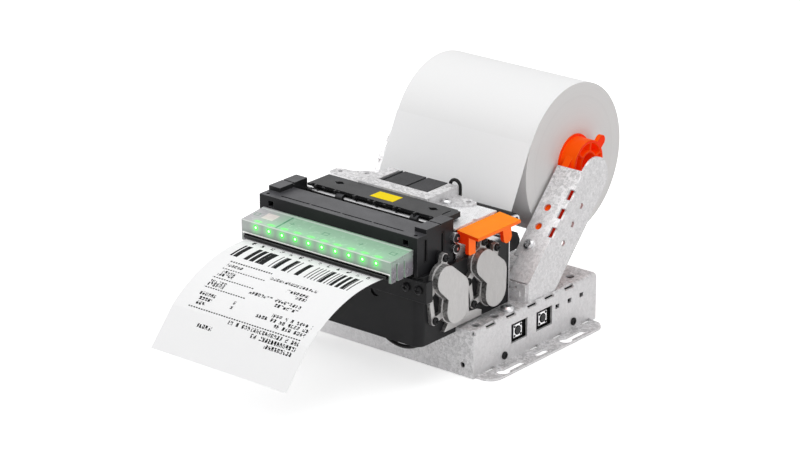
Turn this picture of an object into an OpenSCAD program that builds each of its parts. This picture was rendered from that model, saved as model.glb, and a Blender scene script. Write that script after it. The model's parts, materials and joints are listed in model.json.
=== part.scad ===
// Open-frame kiosk receipt printer: a galvanized base box, a print mechanism with
// cutter and lit paper exit, and two inclined arms that carry an 80 mm paper roll.
// Origin: middle of the base's underside. +X to the right, +Y to the rear, +Z up.

/* [Base box] */
// Width of the base box, wall to wall
base_w = 117; // [112:0.5:124]
// Depth of the base box, front to back
base_d = 94; // [90:0.5:104]
// Height of the base box
base_h = 23.2; // [22.6:0.1:24]
// Thickness of the galvanized sheet
sheet = 1.2; // [1:0.1:1.5]
// Width of the mounting flange on each side
flange_w = 10; // [9:0.5:14]
// Width of the mounting slots
slot_w = 3.6; // [3.2:0.1:4.2]
// Head-clearing hole diameter of the keyholes
key_d = 6.4; // [5.8:0.1:7]

/* [Paper roll] */
// Width of the paper
paper_w = 79.5; // [76:0.5:80]
// Outer diameter of the paper roll
roll_d = 74.4; // [60:0.2:76]
// Inside diameter of the roll's core
core_d = 25.4; // [25:0.1:26]
// Wall of the roll's core
core_wall = 1.8; // [1.5:0.1:3]
// Thickness of the paper strip
paper_t = 0.2; // [0.1:0.05:0.3]

/* [Arms] */
// Gap between the paper's edge and the inner side of each arm
arm_side = 1.75; // [1.5:0.05:2.5]
// Slope of the roll arms above the horizontal, in degrees
arm_angle = 46.5; // [45:0.5:48]
// Length of the arm's front web
arm_len = 60; // [58:0.5:62]
// Width of the arm's front web
arm_w = 15; // [14:0.5:15]
// Depth of the arm's outer cheek
arm_depth = 21; // [20:0.5:22]
// Pitch of the three height holes in the arm
arm_pitch = 10; // [9:0.5:10]
// Diameter of the roll hub outside the roll
hub_d = 22.5; // [21:0.5:23]
// Length of hub that shows beside the roll
hub_show = 8.7; // [8:0.1:9]

/* [Print mechanism] */
// Half width of the lower housing
house_x = 48.3; // [48:0.1:49]
// Height of the paper path
path_z = 56.8; // [56.6:0.1:57]
// Diameter of the platen roller
platen_d = 11.6; // [10.6:0.2:11.6]
// Diameter of the eject rollers
eject_d = 10.6; // [9.6:0.2:10.6]
// Diameter of the pinch rollers above the eject rollers
pinch_d = 6; // [5:0.2:6.4]
// Diameter of the bright cross shaft
cross_d = 2.6; // [2:0.2:3]
// Width of the moulded cover over the paper exit
cover_w = 92.8; // [92.8:0.1:93.4]
// Height of the moulded cover's top face
cover_top = 72.6; // [72:0.1:73]
// Number of long slots in the cover's top
cover_slots = 4; // [3:1:5]
// Number of ribs under the paper guide
guide_ribs = 8; // [5:1:9]

/* [Lit paper exit] */
// Width of the translucent bezel
bezel_w = 88; // [86:0.5:90]
// Depth of the bezel
bezel_d = 15.3; // [14.6:0.1:15.3]
// Number of lamps behind the bezel
lamp_count = 10; // [6:1:10]
// Pitch of the lamps
lamp_pitch = 7.86; // [7.2:0.02:7.9]

/* [Gears and motors] */
// Teeth on the roller gears
teeth_roller = 25; // [24:1:25]
// Teeth on the idler gears
teeth_idler = 26; // [25:1:26]
// Teeth on the motor pinions
teeth_pinion = 16; // [15:1:16]
// Diameter of the stepper motors
motor_d = 20; // [18:0.5:21]
// Length of the stepper motors
motor_len = 18; // [14:0.5:20]

/* [Clearances] */
// Radial clearance of a turning shaft in its hole
run_fit = 0.06; // [0.04:0.01:0.1]
// Gap between fixed neighbours that are not pressed together
gap = 0.2; // [0.1:0.05:0.3]
// Gap between parts that move past each other
move_gap = 0.4; // [0.35:0.05:0.5]

/* [Hidden] */
$fn = 48;
e = 0.01;
hw = base_w/2;
hd = base_d/2;
paper_x = paper_w/2;

// Mechanism levels and stations
house_front = -73;
house_rear = -8.5;
house_wall = 2.2;
house_top = 54;
frame_x = house_x - house_wall - sheet;
cover_x = cover_w/2;
cover_front = house_front + 0.5;
cover_rear = -46.9;
deck_z = 68;
deck_t = 0.9;
platen_y = -32;
platen_z = path_z - paper_t/2 - move_gap - platen_d/2;
eject_y = -60;
eject_z = path_z - paper_t/2 - move_gap - eject_d/2;
cut_y = -43.9;
gear_drop = 15.6;
gear_shift = 7.8;

// Arm frame: s runs up the arm, t runs from the web to the rear
arm_x0 = paper_x + arm_side;
arm_x1 = arm_x0 + arm_w;
arm_y = -3.5;
arm_z = base_h + 9.1;
ca = cos(arm_angle);
sa = sin(arm_angle);
hub_s = arm_len + 9;
hub_t = 12.1;
roll_y = arm_y + hub_s*ca + hub_t*sa;
roll_z = arm_z + hub_s*sa - hub_t*ca;
roll_r = roll_d/2;
hub_r = hub_d/2;

// Paper entry: the web runs from the roll under a fixed bar
bar_r = 3.2;
bar_y = 0.1;
turn_r = bar_r + gap + paper_t/2;
bar_z = path_z + turn_r;
web_r = roll_r + move_gap + paper_t/2;
web_run = sqrt(pow(roll_y - bar_y, 2) + pow(roll_z - bar_z, 2));
web_base = atan2(roll_z - bar_z, roll_y - bar_y);
web_dir = web_base + asin((web_r + turn_r)/web_run);
cut_gap = 1.2;

// Upper unit pivot, lever pivot
unit_y = -17.5;
unit_z = 63;
lever_y = -15.5;
lever_z = 58.5;
lever_x0 = house_x - 1.8;
lever_x1 = house_x + 10.2;
leg_x0 = house_x + 2.9;
leg_t = 2;
lever_front = -44.3;
pin_r = 1.5;

// Gear cover stack on the right-hand side
flange_t = 2;
dome_x = house_x + 5.2;
dome_wall = 0.8;
gear_x0 = house_x + 0.7;
gear_t = 3.3;
gear_m = 0.4;
backlash = 0.07;

// ---------------------------------------------------------------- helpers

// Draws a (y, z) outline and makes it a plate from x0 to x0 + t
module side(x0, t) {
    translate([x0, 0, 0]) rotate([90, 0, 90]) linear_extrude(t) children();
}

// A round bar along X
module xrod(r, x0, x1, y, z) {
    translate([x0, y, z]) rotate([0, 90, 0]) cylinder(r = r, h = x1 - x0);
}

// A box given by its limits
module box(x0, x1, y0, y1, z0, z1) {
    translate([x0, y0, z0]) cube([x1 - x0, y1 - y0, z1 - z0]);
}

// The part and its mirror image on the left
module both() {
    children();
    mirror([1, 0, 0]) children();
}

// Places a (s, -t) outline of the arm in the (y, z) plane
module on_arm() {
    translate([arm_y, arm_z]) rotate(arm_angle) children();
}

// A flat slot along Y with round ends, from y0 to y1
module y_slot(w, y0, y1, h) {
    translate([0, y0 + w/2, 0]) cylinder(d = w, h = h);
    translate([0, y1 - w/2, 0]) cylinder(d = w, h = h);
    translate([-w/2, y0 + w/2, 0]) cube([w, y1 - y0 - w, h]);
}

// A square with round corners
module round_square(x, y, r) {
    translate([r, 0]) square([x - 2*r, y]);
    translate([0, r]) square([x, y - 2*r]);
    for (i = [r, x - r], j = [r, y - r]) translate([i, j]) circle(r);
}

// Points of an arc about c from angle a0 to a1
function arc(c, r, a0, a1) = [for (i = [0:8]) c + r*[cos(a0 + (a1 - a0)*i/8), sin(a0 + (a1 - a0)*i/8)]];

// A pan-head screw whose head sits on z = 0
module pan_screw(d, head_d, head_h, shank) {
    difference() {
        union() {
            cylinder(d = head_d, h = head_h*0.6);
            translate([0, 0, head_h*0.6]) cylinder(d1 = head_d, d2 = head_d*0.66, h = head_h*0.4);
            translate([0, 0, -shank]) cylinder(d = d, h = shank + e);
        }
        for (a = [0, 90]) rotate(a) translate([-head_d*0.32, -0.3, head_h - 0.7]) cube([head_d*0.64, 0.6, 1]);
    }
}

// ---------------------------------------------------------------- base box

side_screw_y = [-24, 29];
side_screw_z = 4.3;
side_screw_d = 2.6;
switch_y = [-12.8, 6.25];
switch_z = 13;
relief = 1.7;
window_w = 12.2;
window_h = 9.4;
lamp_y = [16.4, 25.9, 35.3];
lamp_z = 15.8;
plate_hole_y = [-40, -26];
plate_screw_y = -16.2;
plate_screw_x = house_x + 5.6;

// Cross-section of the hat-shaped sheet: top, walls and flanges
module hat_profile() {
    difference() {
        union() {
            translate([-hw, 0]) square([base_w, base_h - 1.8]);
            translate([-hw + 1.8, 0]) square([base_w - 3.6, base_h]);
            for (s = [-1, 1]) translate([s*(hw - 1.8), base_h - 1.8]) circle(1.8);
        }
        translate([-hw + sheet, -1]) square([base_w - 2*sheet, base_h - sheet + 1]);
    }
}

flange_r = 7;
module flange() {
    difference() {
        linear_extrude(sheet) polygon(concat([[hw - 0.2, -hd + 1.5]],
            arc([hw + flange_w - flange_r, -hd + 1.5 + flange_r], flange_r, -90, 0),
            arc([hw + flange_w - flange_r, hd - 4.7 - flange_r], flange_r, 0, 90),
            [[hw - 0.2, hd - 4.7]]));
        translate([hw + 6.4, 0, -1]) {
            for (y = [-33.4, 14.4]) {
                translate([0, y, 0]) cylinder(d = key_d, h = sheet + 2);
                y_slot(slot_w, y, y + 15.6, sheet + 2);
            }
            y_slot(slot_w, -9, 1, sheet + 2);
        }
    }
}

module base_chassis() {
    color("silver") difference() {
        union() {
            translate([0, hd, 0]) rotate([90, 0, 0]) linear_extrude(base_d) hat_profile();
            for (y = [-hd, hd - sheet]) box(-hw + sheet - e, hw - sheet + e, y, y + sheet, 0,
                base_h - sheet + e);
            both() flange();
        }
        // switch windows and lamp windows in the right wall
        for (y = switch_y) box(hw - sheet - 1, hw + 1, y - window_w/2, y + window_w/2,
            switch_z - window_h/2, switch_z + window_h/2);
        for (y = lamp_y) box(hw - sheet - 1, hw + 1, y - 1.5, y + 1.5, lamp_z - 1.1, lamp_z + 1.1);
        // bend reliefs along the top and bottom bends
        both() {
            for (y = [-34, -18.9, -2.9, 10.3, 25.7])
                box(hw - relief, hw + 1, y - 3.5, y + 3.5, base_h - relief, base_h + 1);
            for (y = [-35.4, -2, 16, 38.7]) box(hw - sheet - 1, hw + 1.2, y - 3.5, y + 3.5, -1, sheet + 0.5);
            box(hw - 1.6, hw + 1, -hd - 1, -hd + 1.6, base_h - 2.2, base_h + 1);
            for (y = side_screw_y) xrod(side_screw_d/2 + gap/2, hw - 3, hw + 1, y, side_screw_z);
            // holes in the top plate
            for (y = plate_hole_y) translate([hw - 4.6, y, base_h - sheet - 1])
                cylinder(d = 4.2, h = sheet + 2);
            translate([plate_screw_x, plate_screw_y, base_h - sheet - 1]) cylinder(d = 3.2, h = sheet + 2);
            translate([hw - 7, 35.4, base_h - sheet - 1]) cylinder(d = 4.2, h = sheet + 2);
            for (y = arm_foot_y) translate([arm_foot_x, y, base_h - sheet - 1])
                cylinder(d = 3.2, h = sheet + 2);
            // small front hole
            translate([hw - 6.2, -hd - 1, 5.5]) rotate([-90, 0, 0]) cylinder(d = 2.6, h = sheet + 2);
        }
        // cable pass under the mechanism
        translate([0, -20, base_h - sheet - 1]) translate([-14, -9, 0]) linear_extrude(sheet + 2)
            round_square(28, 18, 3);
        // rear cut-outs for the sockets
        for (s = socket_cut) box(s[0] - s[1]/2 - gap, s[0] + s[1]/2 + gap, hd - sheet - 1, hd + 1,
            board_top - gap, board_top + s[2] + gap);
        // vents in the rear wall
        for (i = [0:7]) box(-50 + i*4, -48.2 + i*4, hd - sheet - 1, hd + 1, 12, 18);
    }
}

tab_in = sheet;
module base_bottom() {
    color("silver") difference() {
        union() {
            box(-hw + tab_in, hw - tab_in, -hd + tab_in, hd - tab_in, 0, 1);
            both() for (y = side_screw_y) box(hw - tab_in - 1, hw - tab_in, y - 5, y + 5, 0, 9);
            for (x = post_x, y = post_y) translate([x, y, 1 - e]) cylinder(d = 5.5, h = board_z - 1);
        }
        both() for (y = side_screw_y) xrod(side_screw_d/2 + gap/2, hw - 6, hw, y, side_screw_z);
        for (x = post_x, y = post_y) translate([x, y, 3]) cylinder(d = 2.2, h = 10);
    }
}

// ---------------------------------------------------------------- electronics

board_z = 6.6;
board_t = 1.6;
board_top = board_z + board_t;
post_x = [-44, 36];
post_y = [-34, 34];
board_x0 = -49;
board_x1 = 42;
// sockets: x centre, width, height, depth
socket_cut = [[-20, 12, 11, 16], [2, 31, 12.4, 11], [34, 12, 10.8, 12]];

module control_board() {
    color("darkgreen") {
        difference() {
            box(board_x0, board_x1, -39, 43, board_z, board_top);
            for (x = post_x, y = post_y) translate([x, y, 0]) cylinder(d = 3, h = 20);
        }
        box(-12, 2, -6, 8, board_top - e, board_top + 1.6);
        box(12, 22, -20, -8, board_top - e, board_top + 1.4);
        for (x = [-38, -28]) translate([x, 14, board_top - e]) cylinder(d = 8, h = 9);
        box(-40, -18, -35, -30, board_top - e, board_top + 6);
        box(-8, 14, -35, -30, board_top - e, board_top + 6);
    }
}

module rear_sockets() {
    color("gainsboro") {
        // square data socket
        difference() {
            box(-26, -14, hd + 0.4 - 16, hd + 0.4, board_top, board_top + 11);
            box(-24.2, -15.8, hd - 8, hd + 1, board_top + 1.8, board_top + 9.4);
        }
        box(-22.4, -17.6, hd - 8.1, hd - 1, board_top + 4.2, board_top + 7);
        // nine-way serial socket
        difference() {
            union() {
                box(-13.5, 17.5, hd - 2 - 9, hd - 2, board_top, board_top + 12.4);
                translate([2, hd + 4.6, board_top + 6.2]) rotate([90, 0, 0])
                    linear_extrude(7) polygon([[-8.6, 3.9], [8.6, 3.9], [7.4, -3.9], [-7.4, -3.9]]);
            }
            translate([2, hd + 5, board_top + 6.2]) rotate([90, 0, 0])
                linear_extrude(6) polygon([[-7.9, 3.2], [7.9, 3.2], [6.8, -3.2], [-6.8, -3.2]]);
            for (s = [-1, 1]) translate([2 + s*12.5, hd + 1, board_top + 6.2]) rotate([90, 0, 0])
                cylinder(d = 2.8, h = 10);
        }
        for (i = [0:4]) translate([-3.5 + i*2.75, hd + 3.5, board_top + 7.6]) rotate([90, 0, 0])
            cylinder(d = 1, h = 6);
        for (i = [0:3]) translate([-2.1 + i*2.75, hd + 3.5, board_top + 4.8]) rotate([90, 0, 0])
            cylinder(d = 1, h = 6);
        // power socket
        difference() {
            box(28, 40, hd + 0.3 - 12, hd + 0.3, board_top, board_top + 10.8);
            translate([34, hd + 1, board_top + 5.4]) rotate([90, 0, 0]) cylinder(d = 9, h = 9);
        }
        for (s = [-1, 1]) translate([34 + s*2, hd - 1, board_top + 5.4]) rotate([90, 0, 0])
            cylinder(d = 1.2, h = 7.5);
    }
}

sw_board_x = hw - sheet - 5.2;
sw_board_t = 1.6;
sw_face_x = sw_board_x + sw_board_t;
sw_body = 6.2;
sw_depth = 3.8;
button_r = 1.75;

module switch_board() {
    color([0.06, 0.06, 0.07]) {
        box(sw_board_x, sw_face_x, -21, 40, 9, 21);
        for (y = [-19, 38]) xrod(1.6, sw_face_x - e, hw - sheet, y, 18.6);
    }
}

module switch_bodies() {
    color("silver") for (y = switch_y) difference() {
        box(sw_face_x, sw_face_x + sw_depth, y - sw_body/2, y + sw_body/2,
            switch_z - sw_body/2, switch_z + sw_body/2);
        xrod(button_r + run_fit, sw_face_x - 1, sw_face_x + sw_depth + 1, y, switch_z);
    }
}

module button(y) {
    color([0.05, 0.05, 0.05]) {
        xrod(button_r, sw_face_x + 0.9, hw - 0.7, y, switch_z);
        xrod(button_r - 0.35, hw - 0.7 - e, hw - 0.5, y, switch_z);
    }
}

module status_leds() {
    color("palegreen") for (y = lamp_y) {
        box(sw_face_x, hw - sheet - 0.3, y - 1.1, y + 1.1, lamp_z - 0.7, lamp_z + 0.7);
    }
}

// ---------------------------------------------------------------- arms and roll

arm_foot_x = arm_x0 + arm_w/2;
web_hole_x = 5.4;
hole_s = 18.5;
arm_foot_y = [3, 12];

module arm() {
    color("silver") difference() {
        union() {
            // outer cheek with its round end and foot
            side(arm_x1 - sheet, sheet) difference() {
                union() {
                    on_arm() {
                        translate([0, -arm_depth]) square([arm_len + 2, arm_depth]);
                        translate([arm_len + 2, -arm_depth/2]) circle(r = arm_depth/2 - 0.2);
                    }
                    polygon([[arm_y, arm_z], [arm_y, base_h],
                        [arm_y + 20.6, base_h], [arm_y + 20.6 + 4, base_h + 4.2]]);
                }
                translate([-hd, 0]) square([base_d, base_h]);
            }
            // front web, narrower near the foot
            side(arm_x0, arm_w) on_arm() translate([12, -sheet]) square([arm_len - 12, sheet]);
            side(arm_x0 + 2.6, arm_w - 2.6) on_arm() translate([0, -sheet]) square([12 + e, sheet]);
            // inner lip of the channel
            side(arm_x0, sheet) on_arm() translate([14, -7]) square([arm_len - 16, 7]);
            // foot plate and its tread on the base
            box(arm_x0 + 1, arm_x1 - sheet + e, arm_y - 1.2, arm_y, base_h, arm_z - 0.4);
            box(arm_x0 + 1, arm_x1 - sheet + e, arm_y - 1.2, arm_y + 19, base_h, base_h + sheet);
            // stiffening panel pressed into the foot plate
            translate([arm_x0 + 2.4, arm_y - 1.8, base_h + 1.8]) rotate([90, 0, 0]) translate([0, 0, -0.7])
                linear_extrude(0.7) round_square(8.6, 3.2, 1);
        }
        // three slots across the bend, three holes in the cheek, two in the web
        for (k = [0:2]) {
            side(arm_x1 - 2.5, 5) on_arm() translate([24.6 + k*arm_pitch, -1.7]) square([5.4, 3]);
            side(arm_x1 - 3, 5) on_arm() translate([27.2 + k*arm_pitch, -arm_depth/2]) circle(d = 2.8);
            on_web(hole_s + k*arm_pitch) cylinder(d = 3.6, h = 8, center = true);
        }
        for (p = [[arm_x0 + 4.6, 5.9], [arm_x0 + 8.4, 6.6]]) translate([p[0], arm_y, base_h + p[1]])
            rotate([90, 0, 0]) cylinder(d = 1.3, h = 6, center = true);
        for (y = arm_foot_y) translate([arm_foot_x, y, base_h - 1]) cylinder(d = 3.2, h = 5);
    }
}

// Stands a shape on the web's front face, s millimetres up the arm
module on_web(s) {
    translate([arm_x0 + web_hole_x, arm_y + s*ca, arm_z + s*sa]) rotate([arm_angle, 0, 0]) children();
}

// Orange holder: a leg in the channel and the hub that the roll turns on
module roll_holder(tab) {
    leg_in = arm_x0 + sheet + gap;
    color("orangered") difference() {
        union() {
            side(leg_in, arm_w - 2*sheet - 4) on_arm() translate([15, -8.6])
                square([arm_len - 16, 8.6 - sheet]);
            side(leg_in, 3.5) on_arm() translate([15, -8.6]) square([arm_len - 9, 8.6 - sheet]);
            // hub outside the roll
            xrod(hub_r, paper_x + move_gap, paper_x + hub_show, roll_y, roll_z);
            // spigot inside the core
            xrod(core_d/2 - 0.1, paper_x - 9, paper_x + move_gap + e, roll_y, roll_z);
            translate([paper_x - 12, roll_y, roll_z]) rotate([0, 90, 0])
                cylinder(r1 = core_d/2 - 2.7, r2 = core_d/2 - 0.1, h = 3 + e);
            // finger tab
            if (tab) side(paper_x + hub_show - 2, 2) translate([roll_y, roll_z]) rotate(40) {
                translate([hub_r - 1, -2.6]) square([3.4, 5.2]);
                translate([hub_r + 2.2, 0]) circle(2.6);
            }
        }
        // recessed face with ribs
        side(paper_x + hub_show - 4.5, 7) translate([roll_y, roll_z]) difference() {
            circle(hub_r - 1.4);
            circle(6);
            for (a = [20, 80, 140, 200, 260, 320]) rotate(a) translate([0, -0.4]) square([hub_r, 0.8]);
        }
        xrod(5.2, paper_x - 13, paper_x + hub_show + 1, roll_y, roll_z);
        // screw hole in the leg
        on_web(hole_s) cylinder(d = 2.6, h = 12, center = true);
    }
}

module paper_core() {
    color("tan") difference() {
        xrod(core_d/2 + core_wall, -paper_x, paper_x, roll_y, roll_z);
        xrod(core_d/2, -paper_x - 1, paper_x + 1, roll_y, roll_z);
    }
}

module paper_roll() {
    color("whitesmoke") difference() {
        xrod(roll_r, -paper_x, paper_x, roll_y, roll_z);
        xrod(core_d/2 + core_wall, -paper_x - 1, paper_x + 1, roll_y, roll_z);
    }
}

// ---------------------------------------------------------------- paper strip

// Points of a strip of paper: one side, then back along the other
function strip(mid, nrm) = concat(
    [for (i = [0:len(mid) - 1]) mid[i] + nrm[i]*paper_t/2],
    [for (i = [len(mid) - 1:-1:0]) mid[i] - nrm[i]*paper_t/2]);

module paper_web() {
    steps = 8;
    // the web leaves the roll, runs straight, turns under the bar, runs to the cutter
    top = [roll_y, roll_z] + web_r*[-sin(web_dir), cos(web_dir)];
    turn = [for (i = [0:steps]) web_dir - 90 - i*web_dir/steps];
    mid = concat([top],
        [for (a = turn) [bar_y, bar_z] + turn_r*[cos(a), sin(a)]],
        [[cut_y + cut_gap, path_z]]);
    nrm = concat([[cos(web_dir - 90), sin(web_dir - 90)]], [for (a = turn) [cos(a), sin(a)]], [[0, -1]]);
    color("white") side(-paper_x, paper_w) polygon(strip(mid, nrm));
}

// The receipt leaves the exit level and curls down to its cut end
receipt_y0 = -94;
receipt_r = 70;
receipt_sweep = 40;
receipt_tail = 22;

module receipt() {
    steps = 16;
    y0 = receipt_y0;
    arc = [for (i = [0:steps]) i*receipt_sweep/steps];
    mid = concat([[cut_y - cut_gap - 0.8, path_z]],
        [for (a = arc) [y0 - receipt_r*sin(a), path_z - receipt_r*(1 - cos(a))]],
        [[y0 - receipt_r*sin(receipt_sweep) - receipt_tail*cos(receipt_sweep + 8),
            path_z - receipt_r*(1 - cos(receipt_sweep)) - receipt_tail*sin(receipt_sweep + 8)]]);
    nrm = concat([[0, 1]], [for (a = arc) [-sin(a), cos(a)]],
        [[-sin(receipt_sweep + 8), cos(receipt_sweep + 8)]]);
    color("white") side(-paper_x, paper_w) polygon(strip(mid, nrm));
}

// ---------------------------------------------------------------- gears

function inv(a) = tan(a)*180/PI - a;

// One gear outline with n teeth, involute flanks and a little backlash
module gear2d(n) {
    pr = n*gear_m/2;
    base_r = pr*cos(20);
    tip_r = pr + gear_m*0.9;
    root_r = pr - gear_m*1.2;
    half = 90/n - backlash*180/(PI*pr) + inv(20);
    radii = [max(base_r, root_r + 0.02), pr, (pr + tip_r)/2, tip_r];
    flank = [for (r = radii) [r, half - inv(acos(min(1, base_r/r)))]];
    polygon([for (i = [0:n - 1], p = concat([[root_r, flank[0][1]*-1 - 0.5]],
        [for (q = flank) [q[0], -q[1]]],
        [for (k = [3:-1:0]) [flank[k][0], flank[k][1]]],
        [[root_r, flank[0][1] + 0.5]]))
        p[0]*[cos(p[1] + i*360/n), sin(p[1] + i*360/n)]]);
}

r_roller = teeth_roller*gear_m/2;
r_idler = teeth_idler*gear_m/2;
r_pinion = teeth_pinion*gear_m/2;

// Gear train in one cover, relative to the roller's axis: motor, then idler
motor_off = [gear_shift, -gear_drop];
leg_a = r_roller + r_idler;
leg_b = r_idler + r_pinion;
leg_c = norm(motor_off);
fold = acos((leg_a*leg_a + leg_c*leg_c - leg_b*leg_b)/(2*leg_a*leg_c));
idler_dir = atan2(motor_off[1], motor_off[0]) + fold;
idler_off = leg_a*[cos(idler_dir), sin(idler_dir)];
pinion_dir = atan2(motor_off[1] - idler_off[1], motor_off[0] - idler_off[0]);

// Turn of each gear that puts its teeth in mesh with the one before
roller_turn = idler_dir;
idler_turn = idler_dir + 180 + 180/teeth_idler;
idler_lead = idler_turn - pinion_dir;
pinion_turn = pinion_dir + 180 + 180/teeth_pinion - idler_lead*teeth_idler/teeth_pinion;

module gear(n, turn, y, z, bore) {
    side(gear_x0, gear_t) translate([y, z]) difference() {
        rotate(turn) gear2d(n);
        circle(bore);
    }
}

shaft_r = 2;
idler_pin_r = 1.2;
motor_shaft_r = 1;
feed = [platen_y, platen_z];
ejectp = [eject_y, eject_z];

module roller_gear(p) {
    color("ivory") gear(teeth_roller, roller_turn, p[0], p[1], shaft_r);
}

module idler_gear(p) {
    color("ivory") gear(teeth_idler, idler_turn, p[0] + idler_off[0], p[1] + idler_off[1],
        idler_pin_r + run_fit);
}

module pinion(p) {
    y = p[0] + motor_off[0];
    z = p[1] + motor_off[1];
    color("goldenrod") {
        side(gear_x0, gear_t) translate([y, z]) rotate(pinion_turn) gear2d(teeth_pinion);
        xrod(motor_shaft_r, frame_x - 8, gear_x0 + e, y, z);
    }
}

module motor(p) {
    y = p[0] + motor_off[0];
    z = p[1] + motor_off[1];
    color("gray") difference() {
        union() {
            xrod(motor_d/2, frame_x - motor_len, frame_x, y, z);
            xrod(motor_d/2 - 1.6, frame_x - motor_len - 1.4, frame_x - motor_len + e, y, z);
        }
        xrod(motor_shaft_r + run_fit, frame_x - 8.6, frame_x + 1, y, z);
    }
}

// ---------------------------------------------------------------- rollers

module platen_shaft() {
    color("silver") xrod(shaft_r, -frame_x - sheet + move_gap, gear_x0 + gear_t, platen_y, platen_z);
}

module platen_rubber() {
    color("dimgray") difference() {
        xrod(platen_d/2, -paper_x - 1, paper_x + 1, platen_y, platen_z);
        xrod(shaft_r, -paper_x - 2, paper_x + 2, platen_y, platen_z);
    }
}

module eject_shaft() {
    color("silver") xrod(shaft_r, -frame_x - sheet + move_gap, gear_x0 + gear_t, eject_y, eject_z);
}

roller_x = [-25, 0, 25];
roller_w = 10;
module eject_rollers() {
    color("dimgray") for (x = roller_x) difference() {
        xrod(eject_d/2, x - roller_w/2, x + roller_w/2, eject_y, eject_z);
        xrod(shaft_r, x - roller_w, x + roller_w, eject_y, eject_z);
    }
}

pinch_r = pinch_d/2;
pinch_shaft_r = 1.2;
pinch_end = 39;
pinch_z = path_z + paper_t/2 + move_gap + pinch_r;
module pinch_rollers() {
    color("dimgray") {
        xrod(pinch_shaft_r, -pinch_end, pinch_end, eject_y, pinch_z);
        for (x = roller_x) xrod(pinch_r, x - roller_w/2 + 1, x + roller_w/2 - 1, eject_y, pinch_z);
    }
}

// ---------------------------------------------------------------- frames and housings

frame_front = -64;
frame_top = 62;
frame_step = -44.6;

module frame_outline() {
    difference() {
        union() {
            polygon([[frame_front, base_h], [house_rear, base_h], [house_rear, unit_z],
                [unit_y - 3, unit_z + 3.2], [unit_y - 8, frame_top], [frame_step, frame_top],
                [frame_step, house_top - gap], [frame_front, house_top - gap]]);
            translate([unit_y, unit_z]) circle(3.6);
            // ears that carry the entry bar
            polygon([[house_rear - e, 57.6], [bar_y - 2, bar_z - 1.9], [bar_y, bar_z + 2.6],
                [house_rear - e, 62.4]]);
            translate([bar_y, bar_z]) circle(2.6);
        }
        translate([-hd - 20, 0]) square([20, base_h + 3]);
        translate([platen_y, platen_z]) circle(shaft_r + run_fit);
        translate([eject_y, eject_z]) circle(shaft_r + run_fit);
        translate([unit_y, unit_z]) circle(pin_r);
        translate([bar_y, bar_z]) circle(1.6);
    }
}

module side_frame_left() {
    color("silver") {
        side(-frame_x - sheet, sheet) frame_outline();
        box(-frame_x - e, -frame_x + 6, -46, -12, base_h, base_h + sheet);
    }
}

module side_frame_right() {
    color("silver") difference() {
        union() {
            side(frame_x, sheet) frame_outline();
            box(frame_x - 6, frame_x + e, -46, -12, base_h, base_h + sheet);
            // rear lip that closes the housing side
            box(frame_x, house_x + 0.3, house_rear, house_rear + 0.6, base_h + gap, 56.4);
        }
        for (p = [feed, ejectp]) {
            xrod(motor_shaft_r + 1.4, frame_x - 1, frame_x + sheet + 1, p[0] + motor_off[0],
                p[1] + motor_off[1]);
            xrod(idler_pin_r, frame_x - 1, frame_x + sheet + 1, p[0] + idler_off[0], p[1] + idler_off[1]);
        }
        xrod(pin_r, frame_x - 1, frame_x + sheet + 1, lever_y, lever_z);
    }
}

corner_r = 4;
lip_front = house_front - 11.6;
module lower_housing() {
    color([0.13, 0.13, 0.14]) difference() {
        union() {
            difference() {
                // front and side walls with round front corners
                translate([0, 0, 20.8]) linear_extrude(house_top - 20.8) difference() {
                    union() {
                        translate([-house_x, house_front + corner_r])
                            square([2*house_x, house_rear - house_front - corner_r - gap]);
                        translate([-house_x + corner_r, house_front])
                            square([2*(house_x - corner_r), corner_r*2]);
                        for (s = [-1, 1]) translate([s*(house_x - corner_r), house_front + corner_r])
                            circle(corner_r);
                    }
                    translate([-house_x + house_wall, house_front + house_wall])
                        square([2*(house_x - house_wall), 90]);
                }
                box(-house_x - 1, house_x + 1, -hd - gap, 0, 0, base_h);
                // the left side shows a plain opening for cables
                box(-house_x - 1, -house_x + house_wall + 1, -34, -20, 30, 42);
            }
            // floor in front of the base
            box(-house_x + 1, house_x - 1, house_front + 2, -hd - gap, 20.8, 22.6);
            // lip that carries the receipt under the bezel
            box(-paper_x - 1.5, paper_x + 1.5, lip_front, house_front + house_wall, house_top + 0.6,
                house_top + 1.9);
            box(-paper_x - 1.5, paper_x + 1.5, house_front, house_front + house_wall, house_top - 1,
                house_top + 0.6 + e);
            for (x = [-22, -7, 7, 22]) side(x - 1, 2)
                polygon([[house_front + e, house_top + 0.7], [lip_front + 1.5, house_top + 0.7],
                    [house_front + e, house_top - 2.1]]);
            // posts behind the upper ears of the gear covers
            for (q = [feed + ear_top, ejectp + ear_top, feed + ear_rear]) side(house_x - 1.6, 1.6)
                translate(q) {
                circle(2.5);
                translate([-2.5, -6.5]) square([5, 6.5]);
            }
        }
        // shaft holes and gear openings in the right side
        for (p = [feed, ejectp]) {
            xrod(shaft_r + 0.7, house_x - 4, house_x + 1, p[0], p[1]);
            xrod(motor_shaft_r + 1.4, house_x - 4, house_x + 1, p[0] + motor_off[0], p[1] + motor_off[1]);
            xrod(idler_pin_r, house_x - 4, house_x + 1, p[0] + idler_off[0], p[1] + idler_off[1]);
        }
        for (c = cover_pair, q = c[1]) xrod(1, house_x - 2, house_x + 1, c[0][0] + q[0], c[0][1] + q[1]);
        // crescent slot in the front face
        translate([22.5, house_front - 1, 42.2]) rotate([-90, 0, 0]) linear_extrude(2.2) difference() {
            circle(2.6);
            translate([1.3, -0.9]) circle(2.4);
        }
        for (x = strap_screw_x) translate([x, house_front - 1, strap_screw_z]) rotate([-90, 0, 0])
            cylinder(d = 2.2, h = 6);
        // harness entries under the right-hand corner
        for (x = harness_x) translate([x, harness_y, 20]) cylinder(d = 2.6, h = 4);
    }
}

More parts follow.
